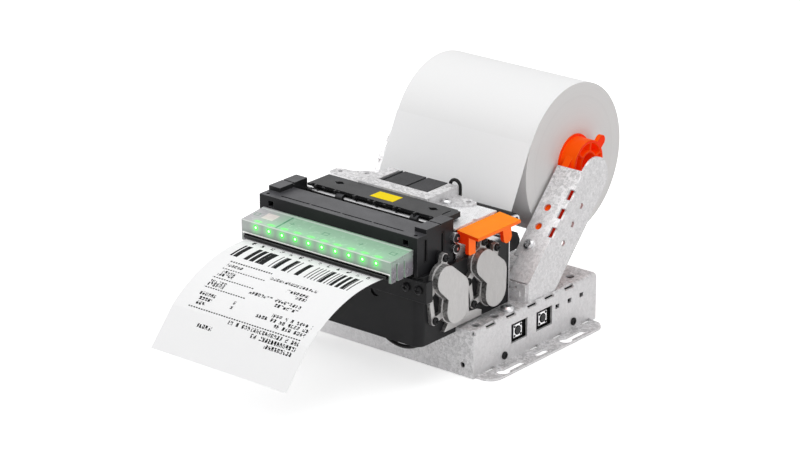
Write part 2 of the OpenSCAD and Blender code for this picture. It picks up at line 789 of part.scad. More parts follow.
strap_screw_x = [-41.4, 41.4];
strap_screw_z = 49;
tab_screw_x = 48.4;
strap_end = 52.8;
strap_t = 1;
module front_strap() {
    color([0.15, 0.15, 0.16]) difference() {
        union() {
            translate([0, house_front, 0]) rotate([90, 0, 0]) linear_extrude(strap_t)
                polygon([[-46, 43.4], [strap_end, 43.4], [strap_end, 53.4], [32, 53.4], [30, 51.6],
                    [-30, 51.6], [-32, 53.4], [-46, 53.4]]);
            box(strap_end - strap_t, strap_end, house_front - strap_t, house_front + 3.4, 43.4, 53.4);
        }
        for (x = concat(strap_screw_x, [tab_screw_x])) translate([x, house_front + 1, strap_screw_z])
            rotate([90, 0, 0]) cylinder(d = 2.6, h = 4);
    }
}

// Harness: a short lead that hangs in a shallow loop below the front corner
harness_x = [24, 45];
harness_y = -69;
harness_r = 0.9;
module sensor_harness() {
    half = (harness_x[1] - harness_x[0])/2;
    drop = 3.4;
    rise = 1.9;
    arc_r = (half*half + drop*drop)/(2*drop);
    open = asin(half/arc_r);
    color([0.08, 0.08, 0.08]) {
        translate([harness_x[0] + half, harness_y, 20.8 - drop + arc_r]) rotate([90, 0, 0])
            rotate([0, 0, -90 - open])
            rotate_extrude(angle = 2*open, $fn = 96) translate([arc_r, 0]) circle(harness_r, $fn = 16);
        for (x = harness_x) translate([x, harness_y, 20.9]) cylinder(r = harness_r, h = rise);
    }
}

// ---------------------------------------------------------------- gear covers

// Lobes of the cover relative to the roller axis: centre and outer radius
lobe_a = [0, 0, 6.6];
lobe_b = [idler_off[0] + 1.4, idler_off[1] - 0.2, 7];
lobe_c = [gear_shift, -gear_drop, 7.5];
lobe_c_xy = [lobe_c[0], lobe_c[1]];
ear_top = [2.4, 9];
ear_rear = [11.9, 3.6];
ear_left = [-8.9, -7];
ear_low = [-4.8, -19];
ears_front = [ear_top, ear_left, ear_low];
ears_rear = [ear_top, ear_rear, ear_left, ear_low];
cover_pair = [[ejectp, ears_front], [feed, ears_rear]];
ear_r = 2.2;

module lobes(wall) {
    hull() {
        translate([lobe_a[0], lobe_a[1]]) circle(lobe_a[2] - wall, $fn = 32);
        translate([lobe_b[0], lobe_b[1]]) circle(lobe_b[2] - wall, $fn = 32);
    }
    hull() {
        translate([lobe_b[0], lobe_b[1]]) circle(lobe_b[2] - wall, $fn = 32);
        translate([lobe_c[0], lobe_c[1]]) circle(lobe_c[2] - wall, $fn = 32);
    }
}

// A strap of flange from a to b
module strap(a, b, w) {
    translate(a) rotate(atan2(b[1] - a[1], b[0] - a[0])) translate([0, -w/2]) square([norm(b - a), w]);
}

module gear_cover(p, ears) {
    color("silver") difference() {
        union() {
            side(house_x, flange_t) translate(p) {
                lobes(-0.5);
                for (q = ears) translate(q) circle(ear_r);
                strap(ear_top, [lobe_a[0], lobe_a[1]], 2*ear_r);
                strap(ear_left, [lobe_a[0], lobe_a[1]], 3);
                strap(ear_low, lobe_c_xy, 3);
                strap(ear_left + [1.4, 0], ear_low + [-0.8, 0], 2.4);
                if (len(ears) > 3) strap(ear_rear, [lobe_b[0], lobe_b[1]], 2*ear_r);
                // foot plate of the front cover
                if (len(ears) == 3) polygon([[15, -10], [19.2, -10.2], [20, -22], [26, -22.6], [29.2, -24],
                    [29.2, -26.6], [2, -26.6], [8, -19]]);
            }
            side(house_x, dome_x - house_x) translate(p) lobes(0);
        }
        side(house_x - 1, dome_x - dome_wall - house_x + 1) translate(p) lobes(dome_wall);
        for (q = ears) xrod(1.3, house_x - 1, dome_x + 1, p[0] + q[0], p[1] + q[1]);
    }
}

// ---------------------------------------------------------------- upper cover and bezel

cheek_x = 39.6;
cheek_top = 74.8;
cross_y = -47.2;
cross_z = 69.3;
cross_r = cross_d/2;
slot_front = 3.2;
tray_z = path_z + 0.6;
tray_t = 1.3;
tray_x = bezel_w/2 - 1.4 - gap;

module upper_cover() {
    slot_run = 73;
    slot_len = slot_run/cover_slots - 0.9;
    color([0.16, 0.16, 0.17]) difference() {
        union() {
            // roof and front
            box(-cover_x, cover_x, cover_front, -56.2, cover_top - 2, cover_top);
            box(-cover_x, cover_x, cover_front, cover_front + 2, 58, cover_top - 1);
            // tray under the bezel
            box(-tray_x, tray_x, bezel_front + 0.4, cover_front + 1, tray_z, tray_z + tray_t);
            // end walls
            both() box(cover_x - 2, cover_x, cover_front, cover_rear, house_top, cover_top);
            both() box(cover_x - 2, cover_x, cover_rear - e, -45, 58.4, 67.5);
            // raised cheeks that carry the cross shaft
            both() {
                box(cheek_x, cover_x, -66, -56.6, cover_top - 2, cheek_top);
                box(cheek_x, cover_x, -55.8, cover_rear, 65.6, cheek_top);
                box(cheek_x, cover_x, -57, -55, 65.6, cheek_top - 0.8);
                // bearing ribs for the pinch rollers
                box(pinch_end - 1.4, pinch_end + 0.8, eject_y - 3, eject_y + 3, pinch_z - 2.4, cover_top - 1);
            }
            // inner guide over the paper
            for (x = [-32, -14, 14, 32]) box(x - 1, x + 1, cover_front + 1, -56.2, 60, cover_top - 1);
        }
        // row of long slots near the front edge
        for (i = [0:cover_slots - 1]) box(-slot_run/2 + i*slot_run/cover_slots,
            -slot_run/2 + i*slot_run/cover_slots + slot_len,
            cover_front + slot_front, cover_front + slot_front + 0.9, cover_top - 3, cover_top + 1);
        both() {
            // square windows in the front, round hole in the roof
            box(cheek_x - 1.6, cheek_x + 1.6, cover_front - 1, cover_front + 3, 67.6, 70.4);
            translate([cover_x - 3, cover_front + 2.6, cover_top - 3]) cylinder(d = 1.8, h = 5);
            // upright slots in the side
            for (y = [-66.6, -54.8]) box(cover_x - 1.2, cover_x + 1, y - 0.6, y + 0.6, 60, 70.2);
            // pinch roller bearings
            xrod(pinch_shaft_r + run_fit, pinch_end - 2, pinch_end + move_gap, eject_y, pinch_z);
        }
        xrod(cross_r, -cover_x + 2, cover_x - 2, cross_y, cross_z);
        for (z = latch_z) xrod(0.7, cover_x - 3, cover_x + 1, latch_y, z);
        // clear of the pinch shaft
        xrod(pinch_shaft_r + move_gap, 1 - pinch_end, pinch_end - 1.4 - e, eject_y, pinch_z);
    }
}

module cross_shaft() {
    color("white") xrod(cross_r, -cover_x + 2.4, cover_x - 2.4, cross_y, cross_z);
}

clip_x = [-19, 25];
module shaft_clips() {
    color([0.1, 0.1, 0.1]) for (x = clip_x) difference() {
        union() {
            xrod(cross_r + 1, x - 2, x + 2, cross_y, cross_z);
            box(x - 1.2, x + 1.2, cross_y - 2.4, cross_y + 0.6, 66, cross_z);
        }
        xrod(cross_r, x - 3, x + 3, cross_y, cross_z);
    }
}

// Lit bezel: a thin shell that slopes up to the rear, with tabs at each end
bezel_front = cover_front - bezel_d;
bezel_rear = bezel_front + bezel_d;
bezel_z0 = tray_z + tray_t + gap;
bezel_z1 = 65.2;
bezel_z2 = 66.8;
bezel_wall = 1.4;

module bezel_outline(w) {
    polygon([[bezel_front + w, bezel_z0 - 9*w], [bezel_front + w, bezel_z1 - w],
        [bezel_rear - w*0, bezel_z2 - w], [bezel_rear - w*0, bezel_z0 - 9*w]]);
}

module led_bezel() {
    bw = bezel_w/2;
    color("honeydew", 0.6) difference() {
        union() {
            side(-bw, bezel_w) bezel_outline(0);
            both() side(bw - bezel_wall, bezel_wall) polygon([[bezel_front, 55.2], [bezel_front, bezel_z1],
                [bezel_rear, bezel_z2], [bezel_rear, 55.2]]);
        }
        side(-bw + bezel_wall, bezel_w - 2*bezel_wall) bezel_outline(bezel_wall);
        // two notches part the end tabs
        both() for (y = [bezel_front + 4, bezel_front + 9.2]) box(bw - 2, bw + 1, y - 0.4, y + 0.4, 50, 63.4);
        both() for (y = [bezel_front + 4, bezel_front + 9.2]) box(bw - 2, bw + 1, y - 0.8, y + 0.8, 50, 56.4);
    }
    // inside bosses and a cross rib
    color("honeydew", 0.6) for (x = [-41, 0, 39]) translate([x, bezel_front + 7.4, bezel_z1 - 1.8])
        cylinder(d = 3, h = 1.6);
    color("honeydew", 0.6) box(-24.4, -23.6, bezel_front + bezel_wall, bezel_rear, bezel_z1 - 1.8,
        bezel_z1 - 0.6);
}

lamp_run = (lamp_count - 1)*lamp_pitch;
board_y = bezel_front + bezel_wall + 1.4;
module led_board() {
    color("white") {
        box(-bezel_w/2 + bezel_wall, bezel_w/2 - bezel_wall, board_y, board_y + 1, bezel_z0 + 0.2,
            bezel_z1 - 2);
        box(-38, -31, board_y + 1 - e, board_y + 6, bezel_z0 + 2, bezel_z1 - 2.2);
    }
}

module bezel_leds() {
    color("lime") for (i = [0:lamp_count - 1]) {
        x = -lamp_run/2 + i*lamp_pitch;
        box(x - 1, x + 1, board_y - 1.1, board_y, 61, 63);
    }
}

// ---------------------------------------------------------------- cutter and paper bed

module fixed_blade() {
    teeth = 53;
    pitch = 1.6;
    color("lightsteelblue") translate([0, cut_y + 1.3, 0]) rotate([90, 0, 0]) linear_extrude(0.9)
        polygon(concat([[-teeth*pitch/2, 62.4]],
            [for (i = [0:teeth - 1], k = [0, 1]) [-teeth*pitch/2 + (i + k/2)*pitch, 58.6 - 0.8*k]],
            [[teeth*pitch/2, 58.6], [teeth*pitch/2, 62.4]]));
    color("lightsteelblue") both() box(41.2, frame_x, cut_y + 0.4, cut_y + 1.3, 58.6, 60.6);
}

blade_travel = 5;
module moving_blade() {
    color("lightsteelblue") translate([0, cut_y, 0]) rotate([90, 0, 0]) linear_extrude(0.8)
        polygon([[-42, 46], [42, 46], [42, 55.6], [14, 54], [0, 53.2], [-14, 54], [-42, 55.6]]);
}

bed_z0 = path_z - paper_t/2 - 2.2;
module paper_bed() {
    bx = cover_x - 2 - gap;
    color([0.12, 0.12, 0.13]) difference() {
        union() {
            box(-bx, bx, house_front + house_wall + gap, -21, bed_z0, path_z - paper_t/2 - 0.4);
            box(-frame_x, frame_x, frame_step + 1, -21, bed_z0, path_z - paper_t/2 - 0.4);
            // ribs that stiffen the bed
            for (x = [-36, -12, 12, 36]) box(x - 1, x + 1, -52, -47.6, bed_z0 - 5, bed_z0 + e);
            for (x = [-36, -12, 12, 36]) box(x - 1, x + 1, -24, -21, bed_z0 - 7, bed_z0 + e);
        }
        // windows for the rollers and the blade
        box(-paper_x - 1.6, paper_x + 1.6, platen_y - platen_d/2 - 0.6, platen_y + platen_d/2 + 0.6, 40, 60);
        for (x = roller_x) box(x - roller_w/2 - 0.6, x + roller_w/2 + 0.6, eject_y - eject_d/2 - 0.6,
            eject_y + eject_d/2 + 0.6, 40, 60);
        box(-42.6, 42.6, cut_y - 1.4, cut_y + 0.6, 40, 60);
    }
}

// ---------------------------------------------------------------- upper unit

unit_x = frame_x - 0.5;
deck_x = 45.5;
deck_rear = -14;

module head_frame() {
    color("silver") difference() {
        union() {
            box(-deck_x, deck_x, -44.6, deck_rear, deck_z, deck_z + deck_t);
            both() side(unit_x - sheet, sheet) difference() {
                union() {
                    polygon([[-40, deck_z + e], [-40, 62.8], [unit_y - 3, unit_z - 2.4],
                        [unit_y + 2.6, unit_z - 2], [deck_rear, deck_z + e]]);
                    translate([unit_y, unit_z]) circle(3);
                }
                translate([unit_y, unit_z]) circle(pin_r + run_fit);
            }
            // cross wall that carries the head
            box(-unit_x + sheet, unit_x - sheet, -19, -18, 63, deck_z + e);
        }
        box(deck_x - 1.4, deck_x + 1, -31, -28.4, deck_z - 1, deck_z + 2);
        for (x = bracket_screw_x) translate([x, bracket_screw_y, deck_z - 1]) cylinder(d = 2.6, h = 4);
        box(-12, 12, -24.4, -23, deck_z - 1, deck_z + 2);
        for (p = ear_holes) translate([p[0], p[1], deck_z - 1]) cylinder(d = 2.6, h = deck_t + 2);
    }
}

guide_x = 38.2;
guide_top = 73;
guide_front = -47;
guide_rear = -33.2;
guide_back = -44.9;
rib_z = deck_z + deck_t;
module paper_guide() {
    rib_pitch = 9;
    color([0.14, 0.14, 0.15]) difference() {
        union() {
            box(-guide_x, guide_x, guide_front, guide_rear, guide_top - 1.4, guide_top);
            // ribs run down behind the cross shaft
            for (i = [0:guide_ribs - 1]) {
                x = (i - (guide_ribs - 1)/2)*rib_pitch + 2;
                side(x - 0.6, 1.2) polygon([[guide_front - 0.6, guide_top - 0.6], [guide_front + 1.5, 69.2],
                    [guide_front + 1.5, 66.4], [guide_back, 66.4], [guide_back, rib_z], [guide_rear, rib_z],
                    [guide_rear, guide_top - 0.6]]);
            }
            // skirt behind the ribs, cut back below its left end
            translate([0, guide_back, 0]) rotate([90, 0, 0]) linear_extrude(0.8)
                polygon([[-guide_x, guide_top - 0.6],
                [-guide_x, guide_top - 2], [-guide_x + 8, 66.4], [guide_x, 66.4],
                    [guide_x, guide_top - 0.6]]);
            // right end cheek and left end prong
            side(guide_x - 2.4, 2.4) polygon([[guide_front - 1.4, guide_top],
                [guide_front - 1.4, guide_top - 1.4], [guide_front + 1.4, 67.4], [guide_front + 1.5, 64.4],
                [guide_back, 64.4], [guide_back, rib_z], [guide_rear, rib_z], [guide_rear, guide_top]]);
            side(-guide_x, 2) polygon([[guide_front - 1.4, guide_top], [guide_front - 1.4, guide_top - 1],
                [guide_back, guide_top - 2.4], [guide_rear, guide_top - 2.4], [guide_rear, guide_top]]);
            // right-hand block beyond the guide
            box(guide_x - e, guide_x + 2.2, guide_front + 2.6, guide_rear - 1, guide_top - 2.6, guide_top);
        }
        // notched round holes and the end slot
        for (s = [-26.6, 28.6]) translate([s, -39.1, guide_top - 2]) {
            cylinder(d = 3.6, h = 3);
            translate([-2.6, -0.6, 0]) cube([5.2, 1.2, 3]);
        }
        translate([guide_x - 1.9, 0, guide_top - 3]) y_slot(0.9, -42.6, -35.6, 4);
        // the guide lifts off the cross shaft and its clips
        around_shaft(cross_r + move_gap, -50, 50);
        for (x = clip_x) around_shaft(cross_r + 1 + move_gap, x - 2 - move_gap, x + 2 + move_gap);
    }
}

// Space that must stay clear for the cross shaft, open below
module around_shaft(r, x0, x1) {
    xrod(r, x0, x1, cross_y, cross_z);
    box(x0, x1, cross_y - 4, cross_y + r - 0.03, 60, cross_z);
}

raise_z = 74;
ear_holes = [[30, -14.8], [-30.8, -14.2], [-42.4, -19.6]];
bracket_t = 1;
top_z = deck_z + deck_t;
bracket_screw_x = [-23.4, 23.4];
bracket_screw_y = -22.4;
module top_bracket() {
    color("gainsboro") difference() {
        union() {
            // raised frame: front bar and two side bars
            box(-20.6, 20.2, -32, -25.9, raise_z - bracket_t, raise_z);
            for (s = [-1, 1]) box(s*17.4 - 2.8, s*17.4 + 2.8, -26, -10, raise_z - bracket_t, raise_z);
            box(-20.6, 20.2, -33, -32, top_z, raise_z);
            for (s = [-1, 1]) box(s*20 - 0.5, s*20 + 0.5, -32, -10, top_z, raise_z);
            // ears on the deck
            translate([0, 0, top_z]) linear_extrude(bracket_t) {
                polygon([[19.6, -24.8], [25, -24.4], [31, -20.6], [34, -17], [33.8, -13.6], [31, -11.8],
                    [19.6, -10.6]]);
                polygon([[-19.6, -26.8], [-38, -25.6], [-44.6, -24.6], [-46.8, -22.6], [-46.6, -18],
                    [-44, -16.6],
                    [-38, -15.4], [-33, -11.4], [-19.6, -10.6]]);
            }
        }
        for (p = ear_holes) translate([p[0], p[1], top_z - 1]) cylinder(d = 2.6, h = 3);
        for (x = bracket_screw_x) translate([x, bracket_screw_y, top_z - 1]) cylinder(d = 2.6, h = 4);
    }
}

module heat_sink() {
    color([0.25, 0.25, 0.27]) difference() {
        union() {
            box(-13.6, 13.6, -25.6, -9.6, top_z, raise_z - 0.2);
        }
        for (x = [-12.2, 1.6]) box(x - 0.6, x + 0.6, -26, -9, raise_z - 2.4, raise_z + 1);
        for (i = [0:6]) box(-11 + i*3.6, -9.6 + i*3.6, -12.4, -9, top_z - 1, raise_z - 2.6);
    }
}

module print_head() {
    color("dimgray") difference() {
        union() {
            box(-41, 41, -38.5, -25, 57.9, 62.4);
            box(-40, 40, -33.2, -30.8, path_z + paper_t/2 + move_gap, 58);
            for (x = [-28, 28]) translate([x, -29.5, 62.3]) cylinder(d = 5, h = deck_z - 62.3);
            box(-41, -36, -25.1, -19, 58.6, 66);
            box(36, 41, -25.1, -19, 58.6, 66);
        }
        for (x = [-28, 28]) translate([x, -29.5, 60]) cylinder(d = 2.2, h = 12);
    }
}

module bracket_screws() {
    color("silver") for (x = bracket_screw_x) translate([x, bracket_screw_y, top_z + bracket_t])
        pan_screw(2.4, 4.6, 1.7, 3);
}

// Head lead: a short loop from the raised frame down to the deck
lead_r = 0.8;
lead_bend = 2.9;
lead_z = 73.2;
module head_cable() {
    color([0.08, 0.08, 0.08]) translate([17.8, -9.2, lead_z]) rotate([90, 0, 0]) {
        rotate_extrude(angle = 180, $fn = 64) translate([lead_bend, 0]) circle(lead_r, $fn = 16);
        for (s = [-1, 1]) translate([s*lead_bend, 0, 0]) rotate([90, 0, 0])
            cylinder(r = lead_r, h = lead_z - deck_z - deck_t, $fn = 16);
    }
}

// ---------------------------------------------------------------- lever and pins

module release_lever() {
    drop = 1.2;
    color("orange") difference() {
        union() {
            // finger plate, lower at its outer edge
            translate([0, lever_front, 0]) rotate([-90, 0, 0]) mirror([0, 1, 0])
                linear_extrude(-13 - lever_front)
                polygon([[lever_x0, 66.9], [lever_x0, 68.4], [lever_x1, 68.4 - drop],
                    [lever_x1, 66.9 - drop]]);
            // inner wall
            box(lever_x0, lever_x0 + 1.6, lever_front, lever_front + 5, 62.6, 67);
            // front and rear legs
            side(leg_x0, leg_t) polygon([[lever_front, 67], [lever_front, 58.6], [lever_front + 0.9, 57.6],
                [lever_front + 5, 57.6], [lever_front + 5, 67]]);
            side(lever_x0, leg_x0 - lever_x0 + e) translate([lever_front, 62.6]) square([1.4, 4.4]);
            side(leg_x0, leg_t) union() {
                polygon([[-20, 67.2], [lever_y - 3, lever_z], [lever_y + 3, lever_z], [-13, 62],
                    [-13, 67.2]]);
                translate([lever_y, lever_z]) circle(3);
            }
        }
        xrod(pin_r + run_fit, leg_x0 - 1, leg_x0 + leg_t - 0.5, lever_y, lever_z);
    }
}

latch_y = -47.2;
latch_z = [66, 61];
latch_x1 = cover_x + 2.6;
bush_r = 2;
module side_pins() {
    color("dimgray") {
        // lever pin, its end hidden in the rear leg
        xrod(pin_r, frame_x, leg_x0 + leg_t - 0.9, lever_y, lever_z);
        // latch pins and the rings round their bushes, on the cover's side
        for (z = latch_z) {
            xrod(0.7, cover_x - 2.6, latch_x1 + 0.5, latch_y, z);
            difference() {
                xrod(bush_r + 0.4, cover_x, latch_x1 - 0.3, latch_y, z);
                xrod(bush_r, cover_x + 0.6, latch_x1 + 1, latch_y, z);
            }
        }
        // unit pivots
        both() xrod(pin_r, unit_x - sheet, frame_x + sheet, unit_y, unit_z);
        // idler pins
        for (p = [feed, ejectp]) xrod(idler_pin_r, frame_x + e, gear_x0 + gear_t, p[0] + idler_off[0],
            p[1] + idler_off[1]);
    }
}

module latch_bushes() {
    color([0.06, 0.06, 0.06]) for (z = latch_z) difference() {
        xrod(bush_r, cover_x + 0.6, latch_x1, latch_y, z);
        xrod(0.7, cover_x, latch_x1 + 1, latch_y, z);
    }
}

// ---------------------------------------------------------------- rear chute

// it reaches nearly to the two arms
chute_x = arm_x0 - gap;
module rear_chute() {
    color([0.12, 0.12, 0.13]) {
        xrod(bar_r, -frame_x + gap, frame_x - gap, bar_y, bar_z);
        both() xrod(1.6 - 0.05, frame_x - gap - e, frame_x + sheet, bar_y, bar_z);
    }
    color([0.12, 0.12, 0.13]) difference() {
        union() {
            side(-chute_x, 2*chute_x) polygon([[house_rear + 1.4, 43], [8.6, 43], [9.6, 47], [7.6, 51], [1, 52.4],
                [house_rear + 1.4, 52]]);
            box(-frame_x, frame_x, house_rear + 1.2, house_rear + 2.4, 44, 51);
        }
        side(-chute_x + 3, 2*chute_x - 6) polygon([[house_rear + 3, 42], [6.6, 42], [7.4, 47], [6.2, 49.4],
            [house_rear + 3, 50]]);
    }
}

// ---------------------------------------------------------------- screws

module black_screws() {
    color([0.07, 0.07, 0.07]) {
        // base side screws
        both() for (y = side_screw_y) translate([hw, y, side_screw_z]) rotate([0, 90, 0])
            pan_screw(side_screw_d, 3.7, 1, sheet + 2.4);
        // strap screws
        for (x = strap_screw_x) translate([x, house_front - strap_t, strap_screw_z]) rotate([90, 0, 0])
            pan_screw(2.1, 4, 1.3, 4);
        translate([tab_screw_x, house_front - strap_t, strap_screw_z]) rotate([90, 0, 0])
            pan_screw(2.1, 4, 1.3, 1.2);
        // gear cover screws
        for (c = cover_pair, q = c[1]) translate([house_x + flange_t, c[0][0] + q[0], c[0][1] + q[1]])
            rotate([0, 90, 0]) pan_screw(1.9, 3.6, 1.3, 3);
    }
}

module pan_screws() {
    color("silver") {
        both() translate([plate_screw_x, plate_screw_y, base_h]) pan_screw(3, 6.4, 2, sheet + 0.6);
        both() for (y = arm_foot_y) translate([arm_foot_x, y, base_h + sheet]) pan_screw(3, 5.8, 1.8, 5);
        both() on_web(hole_s) translate([0, 0, 0]) pan_screw(2.5, 5, 1.6, 4);
    }
}

// ---------------------------------------------------------------- assembly

base_chassis();
base_bottom();
black_screws();
pan_screws();
control_board();
rear_sockets();
switch_board();
switch_bodies();
button(switch_y[0]);  // feed_button
button(switch_y[1]);  // reset_button
status_leds();
arm();  // arm_right
mirror([1, 0, 0]) arm();  // arm_left
roll_holder(true);  // roll_holder_right
mirror([1, 0, 0]) roll_holder(false);  // roll_holder_left
paper_core();
paper_roll();
paper_web();
receipt();
side_frame_right();
side_frame_left();
lower_housing();
front_strap();
sensor_harness();
upper_cover();
led_bezel();
led_board();
bezel_leds();
platen_shaft();
platen_rubber();
roller_gear(feed);  // platen_gear
idler_gear(feed);  // feed_idler
pinion(feed);  // feed_pinion
motor(feed);  // feed_motor
eject_shaft();
eject_rollers();
roller_gear(ejectp);  // eject_gear
idler_gear(ejectp);  // eject_idler
pinion(ejectp);  // eject_pinion
motor(ejectp);  // eject_motor
gear_cover(ejectp, ears_front);  // gear_cover_front
gear_cover(feed, ears_rear);  // gear_cover_rear
pinch_rollers();
cross_shaft();
shaft_clips();
fixed_blade();
moving_blade();
paper_bed();
head_frame();
paper_guide();
top_bracket();
heat_sink();
print_head();
head_cable();
bracket_screws();
release_lever();
side_pins();
latch_bushes();
rear_chute();
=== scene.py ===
import json
import math

import bpy
from mathutils import Matrix, Vector


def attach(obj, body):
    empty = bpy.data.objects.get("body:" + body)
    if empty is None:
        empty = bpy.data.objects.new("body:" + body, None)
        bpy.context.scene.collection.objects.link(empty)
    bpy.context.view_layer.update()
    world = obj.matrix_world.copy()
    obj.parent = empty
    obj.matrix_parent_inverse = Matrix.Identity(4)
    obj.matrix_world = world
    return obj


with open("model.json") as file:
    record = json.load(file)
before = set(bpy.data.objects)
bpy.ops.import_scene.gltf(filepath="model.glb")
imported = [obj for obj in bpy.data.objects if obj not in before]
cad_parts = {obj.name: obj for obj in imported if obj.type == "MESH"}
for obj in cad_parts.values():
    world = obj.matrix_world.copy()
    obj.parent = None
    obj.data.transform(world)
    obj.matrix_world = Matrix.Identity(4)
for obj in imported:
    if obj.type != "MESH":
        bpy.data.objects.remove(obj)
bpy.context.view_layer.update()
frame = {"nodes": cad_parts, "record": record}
nodes = frame["nodes"]

MM = 0.001
QUARTER = math.radians(90)

# Places on the part that the finishes and added pieces follow, in millimetres
ROLL_AXIS_Y, ROLL_AXIS_Z = 52.77, 74.02
CUTTER_Y = -46.0
CURL_Y = -94.0
CURL_RADIUS = 70.0
LAMP_PITCH = 7.86
LAMP_Z = 62.9
LAMP_REACH_X = 39.3
BEZEL_MID_Y = -80.2
BEZEL_FRONT_Y = -86.0
SWITCH_X, SWITCH_Z = 54.0, 13.0


# ---------------------------------------------------------------- node helpers

class Tree:
    """Short words for building a node tree."""

    def __init__(self, tree):
        self.tree = tree
        self.column = 0

    def node(self, kind, **settings):
        n = self.tree.nodes.new(kind)
        self.column += 1
        n.location = (180 * (self.column % 12), -220 * (self.column // 12))
        for key, value in settings.items():
            setattr(n, key, value)
        return n

    def put(self, socket, value):
        if isinstance(value, bpy.types.NodeSocket):
            self.tree.links.new(value, socket)
        elif value is not None:
            socket.default_value = value

    def math(self, op, a, b=None):
        n = self.node("ShaderNodeMath", operation=op)
        self.put(n.inputs[0], a)
        self.put(n.inputs[1], b)
        return n.outputs[0]

    def add(self, a, b):
        return self.math("ADD", a, b)

    def sub(self, a, b):
        return self.math("SUBTRACT", a, b)

    def mul(self, a, b):
        return self.math("MULTIPLY", a, b)

    def divide(self, a, b):
        return self.math("DIVIDE", a, b)

    def modulo(self, a, b):
        return self.math("FLOORED_MODULO", a, b)

    def absolute(self, a):
        return self.math("ABSOLUTE", a)

    def floor(self, a):
        return self.math("FLOOR", a)

    def fract(self, a):
        return self.math("FRACT", a)

    def length(self, a, b):
        return self.math("SQRT", self.add(self.mul(a, a), self.mul(b, b)))

    def above(self, a, b):
        return self.math("GREATER_THAN", a, b)

    def below(self, a, b):
        return self.math("LESS_THAN", a, b)

    def between(self, a, low, high):
        return self.mul(self.above(a, low), self.below(a, high))

    def either(self, a, b):
        return self.math("MAXIMUM", a, b)

    def any_of(self, masks):
        """The highest of several masks."""
        total = masks[0]
        for mask in masks[1:]:
            total = self.either(total, mask)
        return total

    def scale(self, value, low, high, to_low=0.0, to_high=1.0, kind="LINEAR"):
        """Maps low..high onto to_low..to_high and stops at both ends."""
        n = self.node("ShaderNodeMapRange", clamp=True, interpolation_type=kind)
        for socket, v in zip(n.inputs, (value, low, high, to_low, to_high)):
            self.put(socket, v)
        return n.outputs[0]

    def ease(self, value, start, end):
        """Rises smoothly from 0 at start to 1 at end."""
        return self.scale(value, start, end, kind="SMOOTHSTEP")

    def fade(self, value, start, end):
        """Falls smoothly from 1 at start to 0 at end."""
        return self.sub(1.0, self.ease(value, start, end))

    def mix(self, factor, a, b):
        n = self.node("ShaderNodeMix", data_type="RGBA")
        self.put(n.inputs[0], factor)
        self.put(n.inputs[6], a)
        self.put(n.inputs[7], b)
        return n.outputs[2]

    def place(self):
        """Object coordinates in millimetres, and the three of them apart."""
        where = self.node("ShaderNodeTexCoord").outputs["Object"]
        big = self.node("ShaderNodeVectorMath", operation="SCALE")
        self.put(big.inputs[0], where)
        big.inputs["Scale"].default_value = 1000
        apart = self.node("ShaderNodeSeparateXYZ")
        self.put(apart.inputs[0], big.outputs[0])
        return big.outputs[0], apart.outputs

    def facing(self):
        """The three parts of the face's own direction."""
        apart = self.node("ShaderNodeSeparateXYZ")
        self.put(apart.inputs[0], self.node("ShaderNodeNewGeometry").outputs["True Normal"])
        return apart.outputs

    def noise(self, where, scale, detail=3.0, rough=0.55, warp=0.0):
        n = self.node("ShaderNodeTexNoise")
        self.put(n.inputs["Vector"], where)
        settings = {"Scale": scale, "Detail": detail, "Roughness": rough, "Distortion": warp}
        for key, value in settings.items():
            self.put(n.inputs[key], value)
        return n.outputs[0]

    def cells(self, where, scale, feature="F1"):
        n = self.node("ShaderNodeTexVoronoi", feature=feature)
        self.put(n.inputs["Vector"], where)
        self.put(n.inputs["Scale"], scale)
        return n

    def join(self, x, y, z):
        n = self.node("ShaderNodeCombineXYZ")
        for socket, value in zip(n.inputs, (x, y, z)):
            self.put(socket, value)
        return n.outputs[0]

    def dice(self, where):
        n = self.node("ShaderNodeTexWhiteNoise", noise_dimensions="3D")
        self.put(n.inputs[0], where)
        return n.outputs[0]


def new_group(name, inputs, outputs):
    tree = bpy.data.node_groups.new(name, "ShaderNodeTree")
    for label, kind, value in inputs:
        socket = tree.interface.new_socket(label, in_out="INPUT", socket_type=kind)
        if value is not None:
            socket.default_value = value
    for label, kind in outputs:
        tree.interface.new_socket(label, in_out="OUTPUT", socket_type=kind)
    t = Tree(tree)
    return t, t.node("NodeGroupInput").outputs, t.node("NodeGroupOutput").inputs


FLOAT = "NodeSocketFloat"
VECTOR = "NodeSocketVector"


def make_spangle():
    """Zinc coating: fine mottling with a few larger crystals, calm on faces turned to the sides."""
    t, given, out = new_group("zinc_spangle", [("Contrast", FLOAT, 1.0)],
                              [("Tone", FLOAT), ("Polish", FLOAT), ("Height", FLOAT)])
    where, _ = t.place()
    mottle = t.noise(where, 1.15, 5.0, 0.7, 0.5)
    broad = t.noise(where, 0.2, 3.0, 0.6, 1.0)
    crystals = t.cells(where, 0.75)
    tint = t.node("ShaderNodeSeparateColor")
    t.put(tint.inputs[0], crystals.outputs["Color"])
    blend = t.add(t.mul(mottle, 0.7), t.add(t.mul(tint.outputs[0], 0.16), t.mul(broad, 0.14)))
    calm = t.scale(t.absolute(t.facing()[0]), 0.4, 0.9, 1.0, 0.24)
    t.put(out["Tone"], t.add(0.5, t.mul(t.sub(blend, 0.5), t.mul(calm, given["Contrast"]))))
    t.put(out["Polish"], t.add(t.mul(tint.outputs[1], 0.4), t.mul(mottle, 0.6)))
    t.put(out["Height"], mottle)
    return t.tree


def make_grain():
    """Fine moulded or cast grain with a broad, faint unevenness."""
    t, given, out = new_group("surface_grain", [("Fine", FLOAT, 4.0), ("Broad", FLOAT, 0.08)],
                              [("Fine", FLOAT), ("Broad", FLOAT)])
    where, _ = t.place()
    t.put(out["Fine"], t.noise(where, given["Fine"], 4.0, 0.65))
    t.put(out["Broad"], t.noise(where, given["Broad"], 3.0, 0.5, 0.6))
    return t.tree


